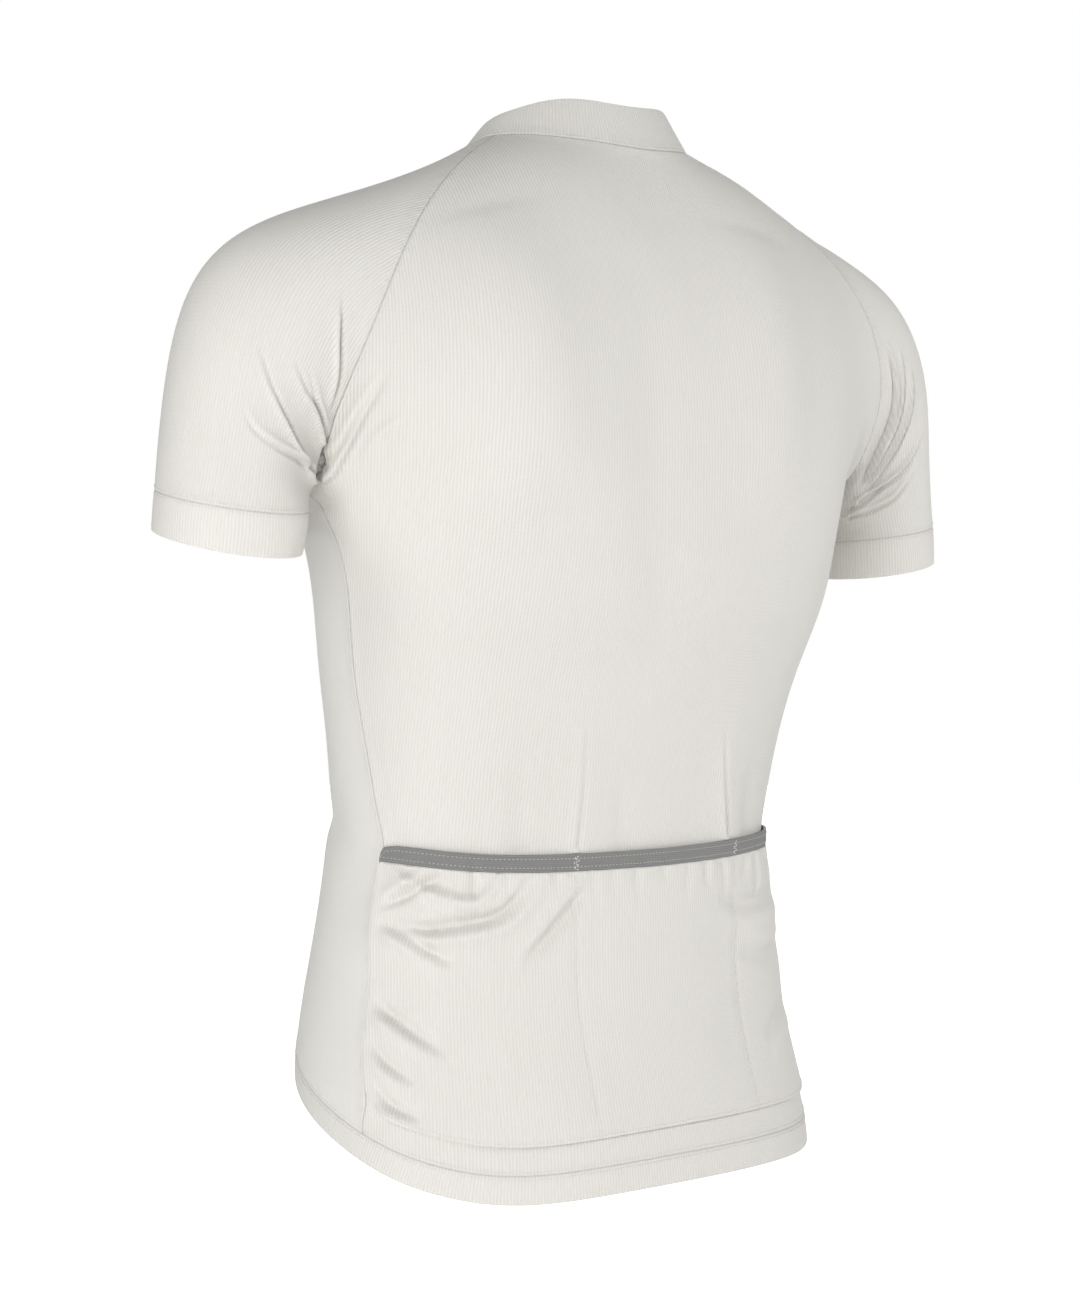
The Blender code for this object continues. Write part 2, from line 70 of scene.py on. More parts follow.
# Where "out of the cloth" points from: the middle line of trunk and sleeves, top and bottom
TRUNK = ((0.0, -0.02, 0.10), (0.0, -0.03, -0.70))
SLEEVE_LEFT = ((0.19, -0.01, -0.12), (0.2815, -0.0075, -0.28))
SLEEVE_RIGHT = ((-0.19, -0.01, -0.12), (-0.2815, -0.0075, -0.28))
FORK = (0.222, -0.012, -0.218)  # where side seam, sleeve and body meet, on the left
CUFF_UNDERSIDE = (0.232, -0.0075, -0.27)  # end of the sleeve's own seam, on the left

CLOTH_PIECES = (
    # node, finish, subdivision, wall, standing off its solid, middle line, cut (width, length), cut's area
    ("back", "ribbed", 2, 0.0012, 0.0, TRUNK, (0.557, 0.727), 0.303),
    ("front_left", "plain", 2, 0.0012, 0.0, TRUNK, (0.277, 0.649), 0.127),
    ("front_right", "plain", 2, 0.0012, 0.0, TRUNK, (0.276, 0.641), 0.126),
    ("sleeve_left", "ribbed", 3, 0.0012, 0.0, SLEEVE_LEFT, (0.331, 0.366), 0.074),
    ("sleeve_right", "ribbed", 3, 0.0012, 0.0, SLEEVE_RIGHT, (0.338, 0.361), 0.075),
    ("collar", "ribbed", 2, 0.0020, 0.0002, TRUNK, (0.507, 0.035), 0.0121),
    ("cuff_left", "ribbed", 3, 0.0020, 0.0005, SLEEVE_LEFT, (0.320, 0.030), 0.0078),
    ("cuff_right", "ribbed", 3, 0.0020, 0.0005, SLEEVE_RIGHT, (0.320, 0.030), 0.0080),
    ("hem_band", "ribbed", 2, 0.0020, 0.0004, TRUNK, (1.051, 0.032), 0.0182),
    ("pocket_panel", "ribbed", 3, 0.0012, 0.0, TRUNK, (0.427, 0.188), 0.0713),
    ("pocket_elastic", "elastic", 2, 0.0016, 0.0, TRUNK, (0.398, 0.021), 0.0045),
    ("zip_tape_left", "tape", 2, 0.0008, 0.0, TRUNK, (0.010, 0.565), 0.0026),
    ("zip_tape_right", "tape", 2, 0.0008, 0.0, TRUNK, (0.010, 0.565), 0.0026),
)

# Creases. Each line is drawn on the cloth as seen from behind or from the front, by x and z.
CREASES = (
    # seen from, half width, depth, share of the ridge beside it, fading, places from the strong end
    # left sleeve, fanning up from the fork
    ("behind", 0.0016, 0.0036, 0.7, "tip", ((0.236, -0.222), (0.262, -0.200), (0.282, -0.173), (0.293, -0.143))),
    ("behind", 0.0016, 0.0033, -0.6, "tip", ((0.243, -0.218), (0.276, -0.208), (0.293, -0.198), (0.301, -0.182))),
    ("behind", 0.0015, 0.0030, 0.7, "tip", ((0.231, -0.199), (0.246, -0.182), (0.261, -0.169), (0.273, -0.150))),
    ("behind", 0.0014, 0.0020, -0.5, "tip", ((0.240, -0.190), (0.250, -0.178), (0.263, -0.156))),
    ("behind", 0.0016, 0.0033, 0.6, "both", ((0.235, -0.182), (0.237, -0.164), (0.241, -0.140), (0.242, -0.112))),
    # right sleeve, in long arcs
    ("behind", 0.0013, 0.0038, -0.7, "both", ((-0.239, -0.210), (-0.244, -0.177), (-0.244, -0.151), (-0.229, -0.112))),
    ("behind", 0.0013, 0.0034, 0.6, "both", ((-0.240, -0.217), (-0.246, -0.200), (-0.254, -0.172), (-0.255, -0.149),
                                             (-0.248, -0.112))),
    ("behind", 0.0013, 0.0038, 0.6, "both", ((-0.241, -0.218), (-0.253, -0.201), (-0.261, -0.180), (-0.266, -0.152),
                                             (-0.262, -0.122))),
    ("behind", 0.0014, 0.0038, 0.7, "tip", ((-0.239, -0.221), (-0.259, -0.208), (-0.273, -0.193), (-0.289, -0.165))),
    ("behind", 0.0013, 0.0034, 0.6, "tip", ((-0.236, -0.232), (-0.247, -0.228), (-0.264, -0.217), (-0.283, -0.192))),
    ("behind", 0.0012, 0.0022, -0.5, "tip", ((-0.235, -0.226), (-0.247, -0.219), (-0.262, -0.204))),
    # forks
    ("behind", 0.0030, 0.0060, 0.0, "both", ((0.232, -0.196), (0.229, -0.207), (0.227, -0.218), (0.226, -0.229))),
    ("behind", 0.0030, 0.0050, 0.0, "both", ((-0.232, -0.194), (-0.230, -0.206), (-0.227, -0.218), (-0.226, -0.228))),
    # back, beside the forks
    ("behind", 0.0028, -0.0052, 0.5, "tip", ((0.222, -0.221), (0.219, -0.202), (0.216, -0.180), (0.210, -0.155))),
    ("behind", 0.0030, 0.0026, -0.5, "both", ((0.210, -0.212), (0.207, -0.197), (0.197, -0.184))),
    ("behind", 0.0050, 0.0020, 0.4, "tip", ((0.207, -0.246), (0.212, -0.231), (0.203, -0.214))),
    ("behind", 0.0060, 0.0032, -0.5, "tip", ((-0.222, -0.214), (-0.216, -0.190), (-0.205, -0.162))),
    ("behind", 0.0048, 0.0020, 0.4, "tip", ((-0.212, -0.238), (-0.206, -0.222), (-0.192, -0.204))),
    # back, over the shoulder blades and down the spine
    ("behind", 0.0340, -0.0105, 0.0, "both", ((0.138, -0.050), (0.132, -0.140), (0.118, -0.245))),
    ("behind", 0.0340, -0.0105, 0.0, "both", ((-0.070, -0.050), (-0.064, -0.140), (-0.052, -0.245))),
    ("behind", 0.0220, 0.0038, 0.0, "both", ((0.040, -0.070), (0.040, -0.200), (0.020, -0.360))),
    # back, above the pockets
    ("behind", 0.0024, 0.0016, 0.6, "tip", ((0.061, -0.455), (0.062, -0.413), (0.066, -0.365))),
    ("behind", 0.0024, 0.0020, 0.6, "tip", ((-0.071, -0.450), (-0.063, -0.421), (-0.055, -0.380))),
    ("behind", 0.0080, 0.0020, 0.3, "tip", ((0.101, -0.455), (0.104, -0.419), (0.109, -0.385))),
    ("behind", 0.0070, 0.0014, 0.3, "tip", ((0.028, -0.455), (0.031, -0.430), (0.030, -0.402))),
    ("behind", 0.0080, 0.0018, 0.3, "tip", ((-0.098, -0.448), (-0.094, -0.425), (-0.090, -0.400))),
    # front, beside the forks
    ("front", 0.0060, 0.0032, 0.5, "tip", ((0.221, -0.214), (0.204, -0.190), (0.184, -0.158))),
    ("front", 0.0048, 0.0024, -0.5, "tip", ((0.212, -0.232), (0.192, -0.218), (0.166, -0.206))),
    ("front", 0.0060, 0.0032, -0.5, "tip", ((-0.221, -0.214), (-0.202, -0.186), (-0.180, -0.150))),
    ("front", 0.0048, 0.0024, 0.5, "tip", ((-0.212, -0.234), (-0.190, -0.222), (-0.162, -0.212))),
    ("front", 0.0016, 0.0024, 0.7, "tip", ((0.238, -0.222), (0.262, -0.200), (0.284, -0.164))),
    ("front", 0.0015, 0.0020, -0.6, "tip", ((0.236, -0.208), (0.248, -0.182), (0.256, -0.140))),
    ("front", 0.0015, 0.0020, 0.6, "tip", ((0.244, -0.232), (0.270, -0.220), (0.296, -0.200))),
    ("front", 0.0016, 0.0024, -0.7, "tip", ((-0.238, -0.222), (-0.260, -0.196), (-0.280, -0.158))),
    ("front", 0.0015, 0.0020, 0.6, "tip", ((-0.236, -0.206), (-0.246, -0.178), (-0.252, -0.138))),
    ("front", 0.0015, 0.0020, -0.6, "tip", ((-0.244, -0.234), (-0.268, -0.222), (-0.294, -0.204))),
    # front, at the waist
    ("front", 0.0090, 0.0030, 0.3, "both", ((0.150, -0.440), (0.112, -0.428), (0.062, -0.432))),
    ("front", 0.0080, 0.0024, -0.3, "both", ((0.140, -0.478), (0.100, -0.470), (0.056, -0.474))),
    ("front", 0.0090, 0.0030, 0.3, "both", ((-0.150, -0.446), (-0.110, -0.430), (-0.058, -0.428))),
    ("front", 0.0080, 0.0024, -0.3, "both", ((-0.138, -0.486), (-0.096, -0.472), (-0.050, -0.470))),
)
POCKET_CREASES = (
    ("behind", 0.0036, 0.0047, 0.5, "both", ((0.168, -0.494), (0.156, -0.484), (0.142, -0.472))),
    ("behind", 0.0042, 0.0068, -0.6, "both", ((0.170, -0.498), (0.157, -0.506), (0.138, -0.504), (0.117, -0.499),
                                              (0.103, -0.486), (0.095, -0.472))),
    ("behind", 0.0036, 0.0044, -0.5, "both", ((0.170, -0.502), (0.157, -0.515), (0.140, -0.530))),
    ("behind", 0.0042, 0.0057, 0.5, "both", ((0.101, -0.532), (0.077, -0.506), (0.054, -0.482))),
    ("behind", 0.0040, 0.0052, -0.6, "both", ((0.174, -0.549), (0.166, -0.564), (0.150, -0.586))),
    ("behind", 0.0036, 0.0039, -0.5, "both", ((0.180, -0.570), (0.175, -0.590), (0.166, -0.604))),
    ("behind", 0.0036, 0.0039, -0.5, "both", ((0.183, -0.600), (0.177, -0.617), (0.166, -0.626))),
    ("behind", 0.0060, 0.0042, 0.5, "both", ((-0.148, -0.490), (-0.120, -0.494), (-0.088, -0.498), (-0.060, -0.492))),
    ("behind", 0.0060, 0.0039, -0.5, "both", ((-0.150, -0.528), (-0.118, -0.534), (-0.084, -0.529))),
    ("behind", 0.0056, 0.0031, 0.5, "both", ((-0.154, -0.566), (-0.130, -0.576), (-0.104, -0.590))),
    ("behind", 0.0040, -0.0039, 0.6, "both", ((0.163, -0.468), (0.150, -0.484), (0.128, -0.490), (0.110, -0.470))),
    # the pockets' divider seams pull in
    ("behind", 0.0040, 0.0006, 0.5, "both", ((0.064, -0.468), (0.064, -0.560), (0.064, -0.646))),
    ("behind", 0.0040, 0.0006, -0.5, "both", ((-0.079, -0.468), (-0.079, -0.560), (-0.079, -0.646))),
)
CREASE_PLACES = 24  # on each line, snapped to the cloth
CREASE_SIGHT = 1.0  # how far outside the cloth a line is drawn from
CREASE_REACH = 0.012  # how far through the cloth a crease is felt
SHARP, SWELL = 0.0025, 0.55  # narrower creases are folds, which swell the cloth around them
REFINED = ((4.0, 0.0067), (2.6, 0.0035))  # split finer, twice: half widths beside a crease, metres from a border
FINE_EDGING = 0.0012  # faces this small beside a border need no splitting

# Small gathers that the elastic draws into the pocket cloth, from behind, by x
GATHERS = (-0.128, -0.108, -0.094, -0.066, -0.048, -0.030, -0.006, 0.016, 0.034, 0.052, 0.078, 0.092,
           0.112, 0.128)
GATHER_TOP, GATHER_LENGTHS = -0.470, (0.016, 0.026, 0.012, 0.022)
GATHER_HALF_WIDTH, GATHER_DEPTHS = 0.0034, (0.0012, 0.0018, 0.0010)

# Sewing
SEAM_LIP, SEAM_SINK = 0.0016, 0.00020  # the strip beside a seam that turns in, and how deep
SEAM_GAP, SEAM_EASE = 0.00006, 0.006  # left open between sewn borders, and how far their cloth gives way
ZIP_SIDES = {"zip_tape_left", "zip_tape_right"}
SEAMS = (
    # one piece, the other, then the rows of stitches: distances from the seam, on which of the two
    ("back", "sleeve_left", ()), ("back", "sleeve_right", ()),
    ("front_left", "sleeve_left", ()), ("front_right", "sleeve_right", ()),
    ("back", "front_left", ()), ("back", "front_right", ()),
    ("collar", "back", ()), ("collar", "sleeve_left", ()), ("collar", "sleeve_right", ()),
    ("collar", "front_left", ()), ("collar", "front_right", ()),
    ("hem_band", "back", (0.0024,)), ("hem_band", "front_left", (0.0024,)),
    ("hem_band", "front_right", (0.0024,)),
    ("back", "hem_band", (0.0024,)), ("front_left", "hem_band", (0.0024,)),
    ("front_right", "hem_band", (0.0024,)),
    ("cuff_left", "sleeve_left", (0.0022,)), ("cuff_right", "sleeve_right", (0.0022,)),
    ("sleeve_left", "cuff_left", (0.0022,)), ("sleeve_right", "cuff_right", (0.0022,)),
    ("zip_tape_left", "front_left", ()), ("zip_tape_right", "front_right", ()),
    ("front_left", "zip_tape_left", (0.0024,)), ("front_right", "zip_tape_right", (0.0024,)),
)
SEAM_MEETS = 0.0016  # borders this near each other are sewn together
SEWN_DOWN = ("pocket_panel", "pocket_elastic")  # their sides are sewn flat onto the back
SEWN_SLOPE, SEWN_EASE, SEWN_CLEAR = 0.6, 0.009, 0.0001  # what is a side, how far the cloth bends down, what is left
# The cloth under a pocket piece: how far it feels a fold, how near the piece's edge, the room left, fading at seams
TUCK_REACH, TUCK_EDGE, TUCK_CLEAR, TUCK_EASE = 0.012, 0.0003, 0.0008, 0.006
ALLOWANCE_HALF, ALLOWANCE_WALL, ALLOWANCE_DEPTH = 0.0030, 0.0004, 0.0019
STITCH, STITCH_GAP, THREAD = 0.0022, 0.0010, 0.00022
POCKET_SEAMS = (-0.079, 0.064)
DIVIDER = (-0.474, -0.640)  # top and foot of the pockets' divider seams, by z
BARTACK_HEIGHT, BARTACK_HALF, BARTACK_TURNS, BARTACK_DROP = 0.0105, 0.0017, 7, 0.001
BARTACK_STITCH = (0.0019, 0.0002, 0.00028)  # stitch, gap and half the thread
ELASTIC_ROW, ELASTIC_STITCH = 0.0030, (0.0012, 0.0016, 0.0002)
FOOT_ROW, FOOT_RISE = 0.0022, 0.034  # the row along the pockets' foot: from its edge, and how far up the foot reaches
LEVEL, ROW_BREAK, ROW_LEAST = 0.7, 0.01, 4  # how steep a level row may be, a gap that ends it, its fewest points
BEHIND = 0.2  # a place behind the jersey, from which lines are dropped on the cloth

# Zip
TOOTH_PITCH, TOOTH, TOOTH_STAND, TOOTH_OFFSET = 0.0016, (0.0022, 0.0009, 0.0010), 0.0004, 0.0004
SLIDER_CLEAR = 0.0008


# Stage
ROOM_LIGHT, PAPER = 0.31, (1.0, 1.0, 1.0, 1.0)
LIGHT_DISTANCE = 2.6
LIGHTS = (
    # name, turn from straight behind, height over the camera, size, power
    ("key", radians(55), 0.0, 1.6, 53.0), ("right", radians(-50), 0.8, 1.6, 44.0),
    ("left", radians(95), 1.5, 1.6, 13.0), ("front", radians(215), 0.5, 2.0, 40.0),
)
CAMERA_SHIFT = 47 / 1296  # the jersey sits a little low in the frame
CAMERA_ASIDE = 0.026  # the camera stands this far left of the jersey's axis


def linear(hex_colour):
    """Linear RGB of an sRGB hex colour."""
    parts = [int(hex_colour[k:k + 2], 16) / 255 for k in (1, 3, 5)]
    return tuple(c / 12.92 if c <= 0.04045 else ((c + 0.055) / 1.055) ** 2.4 for c in parts)


class JerseyCloth(bpy.types.PropertyGroup):
    """Sizes and colours of the cloth"""

    knit: FloatVectorProperty(name="Knit", description="Crests of the ribs", subtype="COLOR",
                              default=linear("#CFCDC8"), min=0, max=1)
    # The darker colour is painted shade in the furrows between the ribs and loops; the sewing thread takes it for its
    # darker specks.
    furrow_shade_and_speck: FloatVectorProperty(name="Furrow", description="Between the ribs", subtype="COLOR",
                                default=linear("#C2BFB8"), min=0, max=1)
    elastic: FloatVectorProperty(name="Elastic", description="Pocket elastic", subtype="COLOR",
                                 default=linear("#7A7A79"), min=0, max=1)
    thread: FloatVectorProperty(name="Thread", description="Sewing thread", subtype="COLOR",
                                default=linear("#D6D4CF"), min=0, max=1)
    # A real rib of this knit is about 1 mm wide, and a real row of loops about 0.8 mm high. Both are drawn
    # coarser than that, so that they show.
    rib: FloatProperty(name="Rib", description="From one rib of the knit to the next",
                       default=0.0022, unit="LENGTH", precision=4)
    course: FloatProperty(name="Course", description="From one row of loops to the next",
                          default=0.0028, unit="LENGTH", precision=4)


class JerseyStage(bpy.types.PropertyGroup):
    """Camera, floor and light"""

    lens: FloatProperty(name="Lens", description="Focal length", default=99.5, unit="CAMERA")
    turn: FloatProperty(name="Turn", description="From straight behind towards the wearer's left",
                        default=radians(40), subtype="ANGLE")
    distance: FloatProperty(name="Distance", description="Camera to the jersey's axis", default=2.4,
                            unit="LENGTH")
    eye: FloatProperty(name="Eye", description="Height of the camera", default=-0.358, unit="LENGTH")
    floor: FloatProperty(name="Floor", description="Height of the floor", default=-1.42, unit="LENGTH")


# Materials

def add(tree, kind, sockets=None, **settings):
    """Adds a node with its settings, and sets or links its sockets."""
    made = tree.nodes.new(kind)
    for name, value in settings.items():
        setattr(made, name, value)
    for key, value in (sockets or {}).items():
        if isinstance(value, bpy.types.NodeSocket):
            tree.links.new(value, made.inputs[key])
        else:
            made.inputs[key].default_value = value
    return made


def new_material(name, **constants):
    """A material with its shader's constants set on the shader."""
    material = bpy.data.materials.new(name)
    material.use_nodes = True
    tree = material.node_tree
    shader = tree.nodes["Principled BSDF"]
    for key, value in constants.items():
        shader.inputs[key.replace("_", " ").title().replace("Ior", "IOR")].default_value = value
    return material, tree, shader


def wave(tree, place, pitch, offset=0.0):
    """0 to 1 and back, once in each pitch along a coordinate."""
    turns = add(tree, "ShaderNodeMath", {0: place, 1: 2 * pi / pitch, 2: offset}, operation="MULTIPLY_ADD")
    swing = add(tree, "ShaderNodeMath", {0: turns.outputs[0]}, operation="SINE")
    return add(tree, "ShaderNodeMath", {0: swing.outputs[0], 1: 0.5, 2: 0.5}, operation="MULTIPLY_ADD").outputs[0]


def pattern(tree, waver):
    """The flat pattern's two coordinates in metres, across and along the grain, a little wavering."""
    flat = add(tree, "ShaderNodeUVMap", uv_map="flat_pattern").outputs["UV"]
    unrest = add(tree, "ShaderNodeTexNoise", {"Vector": flat, "Scale": 28.0, "Detail": 2.0})
    moved = add(tree, "ShaderNodeVectorMath", {0: unrest.outputs["Color"], 1: (waver, waver, 0.0), 2: flat},
                operation="MULTIPLY_ADD")
    axes = add(tree, "ShaderNodeSeparateXYZ", {"Vector": moved.outputs["Vector"]})
    return flat, axes.outputs["X"], axes.outputs["Y"]


def seam_relief(tree, flat):
    """The ditch of a seam, the edge that rolls up beside it, and the cloth's slight puckers."""
    far = add(tree, "ShaderNodeAttribute", attribute_name="from_seam").outputs["Fac"]
    ditch = add(tree, "ShaderNodeMapRange", {"Value": far, "From Max": 0.0008, "To Max": 0.00012},
                interpolation_type="SMOOTHSTEP").outputs["Result"]
    roll = add(tree, "ShaderNodeMath", {0: far, 1: 0.0014}, operation="SUBTRACT").outputs[0]
    roll = add(tree, "ShaderNodeMath", {0: roll, 1: 0.0010}, operation="DIVIDE").outputs[0]
    roll = add(tree, "ShaderNodeMath", {0: roll, 1: roll}, operation="MULTIPLY").outputs[0]
    roll = add(tree, "ShaderNodeMath", {0: 1.0, 1: roll}, operation="SUBTRACT", use_clamp=True).outputs[0]
    rolled = add(tree, "ShaderNodeMath", {0: roll, 1: 0.00018, 2: ditch}, operation="MULTIPLY_ADD").outputs[0]
    pucker = add(tree, "ShaderNodeTexNoise", {"Vector": flat, "Scale": 130.0, "Detail": 1.0}).outputs["Fac"]
    reach = add(tree, "ShaderNodeMapRange", {"Value": far, "From Max": 0.009, "To Min": 0.0011, "To Max": 0.0},
                interpolation_type="SMOOTHSTEP").outputs["Result"]
    height = add(tree, "ShaderNodeMath", {0: pucker, 1: reach, 2: rolled}, operation="MULTIPLY_ADD").outputs[0]
    return add(tree, "ShaderNodeBump", {"Height": height, "Strength": 1.0, "Distance": 1.0}).outputs["Normal"]


def shaded_seam(tree, colour):
    """Paints shade into the bottom of a seam's ditch: the colour darkens within 0.8 mm of the seam."""
    far = add(tree, "ShaderNodeAttribute", attribute_name="from_seam").outputs["Fac"]
    depth = add(tree, "ShaderNodeMapRange", {"Value": far, "From Min": 0.0001, "From Max": 0.0008, "To Min": 0.80,
                                             "To Max": 1.0}).outputs["Result"]
    return add(tree, "ShaderNodeVectorMath", {0: colour.outputs["Result"], "Scale": depth}, operation="SCALE")


def knit_material(name, relief, contrast):
    """Ribbed polyester knit: matt, with fine upright ribs whose slanted loops alternate from rib to rib."""
    cloth = bpy.context.scene.jersey_cloth
    material, tree, shader = new_material(name, roughness=0.82, sheen_weight=0.1, sheen_roughness=0.5)
    shader.inputs["Specular IOR Level"].default_value = 0.25
    flat, across, along = pattern(tree, 0.0018)
    ribs = wave(tree, across, cloth.rib)
    number = add(tree, "ShaderNodeMath", {0: across, 1: cloth.rib}, operation="DIVIDE").outputs[0]
    number = add(tree, "ShaderNodeMath", {0: number}, operation="FLOOR").outputs[0]
    shifted = add(tree, "ShaderNodeMath", {0: number, 1: cloth.course / 2, 2: along}, operation="MULTIPLY_ADD")
    slanted = add(tree, "ShaderNodeMath", {0: across, 1: 0.7, 2: shifted.outputs[0]}, operation="MULTIPLY_ADD")
    loops = wave(tree, slanted.outputs[0], cloth.course)
    held = add(tree, "ShaderNodeMath", {0: loops, 1: 0.26, 2: 0.74}, operation="MULTIPLY_ADD").outputs[0]
    height = add(tree, "ShaderNodeMath", {0: ribs, 1: held}, operation="MULTIPLY").outputs[0]
    lint = add(tree, "ShaderNodeTexNoise", {"Vector": flat, "Scale": 900.0, "Detail": 2.0}).outputs["Fac"]
    height = add(tree, "ShaderNodeMath", {0: lint, 1: 0.25, 2: height}, operation="MULTIPLY_ADD").outputs[0]
    bump = add(tree, "ShaderNodeBump", {"Height": height, "Strength": relief, "Distance": 0.00045,
                                        "Normal": seam_relief(tree, flat)})
    tree.links.new(bump.outputs["Normal"], shader.inputs["Normal"])
    # The colour darkens where the rib and loop relief is low: painted shade in the furrows. The large noise patches are
    # random tone.
    patches = add(tree, "ShaderNodeTexNoise", {"Vector": flat, "Scale": 14.0, "Detail": 3.0}).outputs["Fac"]
    shade = add(tree, "ShaderNodeMath", {0: patches, 1: 0.35, 2: height}, operation="MULTIPLY_ADD").outputs[0]
    shade = add(tree, "ShaderNodeMapRange", {"Value": shade, "From Min": 0.1, "From Max": 1.1,
                                             "To Min": 1.0 - contrast, "To Max": 1.0}).outputs["Result"]
    colour = colour_between(tree, shade, cloth.furrow_shade_and_speck, cloth.knit)
    # Painted shade along the seams' ditches.
    tree.links.new(shaded_seam(tree, colour).outputs["Vector"], shader.inputs["Base Color"])
    return material


def colour_between(tree, factor, low, high):
    """A colour that goes from one to another with a factor."""
    return add(tree, "ShaderNodeMix", {"Factor": factor, "A": (*low, 1), "B": (*high, 1)}, data_type="RGBA")


def finish(tree, shader, relief, strength, depth, factor, low, high):
    """Gives a shader its relief, in metres, and its two colours. A strength of 0 leaves it smooth."""
    if strength:
        bump = add(tree, "ShaderNodeBump", {"Height": relief, "Strength": strength, "Distance": depth})
        tree.links.new(bump.outputs["Normal"], shader.inputs["Normal"])
    tree.links.new(colour_between(tree, factor, low, high).outputs["Result"], shader.inputs["Base Color"])


def elastic_material():
    """Woven elastic: flat mid-grey, with fine cords along it and a matt face."""
    grey = bpy.context.scene.jersey_cloth.elastic
    material, tree, shader = new_material("woven_elastic", roughness=0.78, sheen_weight=0.1)
    _, across, along = pattern(tree, 0.0004)
    # The real cords and picks are about 0.7 mm apart: drawn coarser, so that they show
    cords, picks = wave(tree, along, 0.0013), wave(tree, across, 0.0011)
    height = add(tree, "ShaderNodeMath", {0: picks, 1: 0.35, 2: cords}, operation="MULTIPLY_ADD").outputs[0]
    # Darker where the cords' relief is low: painted shade in the grooves between them.
    finish(tree, shader, height, 0.5, 0.0003, cords, [0.78 * part for part in grey], grey)
    return material


def tape_material():
    """Woven polyester zip tape: flat and close, with a fine herringbone."""
    cloth = bpy.context.scene.jersey_cloth
    material, tree, shader = new_material("woven_zip_tape", roughness=0.7)
    _, across, along = pattern(tree, 0.0002)
    slant = add(tree, "ShaderNodeMath", {0: across, 1: 0.0022}, operation="PINGPONG").outputs[0]
    diagonal = add(tree, "ShaderNodeMath", {0: along, 1: slant}, operation="ADD").outputs[0]
    threads = wave(tree, diagonal, 0.0012)  # real threads are about 0.5 mm apart: drawn coarser, so that they show
    # Darker in the hollows between the threads: painted shade.
    finish(tree, shader, threads, 0.4, 0.0002, threads, cloth.furrow_shade_and_speck, cloth.knit)
    return material


def speckled(name, roughness, scale, detail, strength, low, high):
    """A small hard or twisted thing's material: two near colours in fine specks, and a relief of them."""
    material, tree, shader = new_material(name, roughness=roughness)
    place = add(tree, "ShaderNodeTexCoord").outputs["Object"]
    grain = add(tree, "ShaderNodeTexNoise", {"Vector": place, "Scale": scale, "Detail": detail}).outputs["Fac"]
    finish(tree, shader, grain, strength, 0.0001, grain, low, high)
    return material


def thread_material():
    """Spun polyester thread: soft, slightly glossy, with a twist."""
    cloth = bpy.context.scene.jersey_cloth
    return speckled("sewing_thread", 0.6, 2400.0, 1.0, 0.4, cloth.furrow_shade_and_speck, cloth.thread)


def painted_metal():
    """Zinc die-cast slider, spray painted: even off-white, satin, a little orange peel."""
    return speckled("painted_zinc", 0.38, 1500.0, 2.0, 0.15, linear("#CFCCC4"), linear("#D9D6CE"))


def moulded_teeth():
    """Moulded acetal zip teeth: smooth, slightly see-through looking, faintly uneven."""
    return speckled("moulded_acetal", 0.42, 700.0, 2.0, 0, linear("#D2CFC7"), linear("#DEDBD3"))


# Cloth

def select_only(piece):
    """Makes one piece the only one selected, and the active one."""
    bpy.ops.object.select_all(action="DESELECT")
    piece.select_set(True)
    bpy.context.view_layer.objects.active = piece


def new_piece(name, mesh, material):
    """An object from a bmesh, shaded smooth."""
    data = bpy.data.meshes.new(name)
    mesh.to_mesh(data)
    mesh.free()
    data.materials.append(material)
    piece = bpy.data.objects.new(name, data)
    bpy.context.scene.collection.objects.link(piece)
    data.shade_smooth()
    return piece


def out_of(middle, points):
    """Directions out from a middle line, level with each point."""
    top, foot = (np.array(end) for end in middle)
    line = foot - top
    share = np.clip((points - top) @ line / (line @ line), -1, 2)
    out = points - top - share[:, None] * line
    return out / (np.linalg.norm(out, axis=1)[:, None] + 1e-9)


def outer_face(node, middle):
    """The outer face of a cloth solid, as a bmesh of quads."""
    mesh = bmesh.new()
    mesh.from_mesh(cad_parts[node].data)
    for layer in list(mesh.loops.layers.uv):
        mesh.loops.layers.uv.remove(layer)
    bmesh.ops.remove_doubles(mesh, verts=mesh.verts, dist=MERGE)
    mesh.faces.ensure_lookup_table()
    group = [-1] * len(mesh.faces)
    groups = []
    for first in mesh.faces:
        if group[first.index] >= 0:
            continue
        members, waiting = [], [first]
        group[first.index] = len(groups)
        while waiting:
            face = waiting.pop()
            members.append(face)
            for edge in face.edges:
                for other in edge.link_faces:
                    if group[other.index] < 0 and face.normal.angle(other.normal, pi) < FOLDED_EDGE:
                        group[other.index] = len(groups)
                        waiting.append(other)
        groups.append(members)
    groups.sort(key=lambda members: -sum(face.calc_area() for face in members))

    def outwardness(members):
        """How much of a group of faces looks away from the middle line."""
        centres = np.array([face.calc_center_median() for face in members])
        normals = np.array([face.normal for face in members])
        areas = np.array([face.calc_area() for face in members])
        return float(((out_of(middle, centres) * normals).sum(axis=1) * areas).sum())

    outer = max(groups[:2], key=outwardness)
    keep = set(outer)
    bmesh.ops.delete(mesh, geom=[face for face in mesh.faces if face not in keep], context="FACES")
    bmesh.ops.join_triangles(mesh, faces=mesh.faces, angle_face_threshold=radians(60),
                             angle_shape_threshold=radians(180))
    return mesh


def keep_corners(mesh):
    """Marks the corners of a sheet's border, so that the subdivision doesn't round them off."""
    held = mesh.verts.layers.float.new("crease_vert")
    for vertex in mesh.verts:
        ways = [(edge.other_vert(vertex).co - vertex.co).normalized() for edge in vertex.link_edges if edge.is_boundary]
        if len(ways) == 2 and ways[0].dot(ways[1]) > -cos(CORNER):
            vertex[held] = 1.0


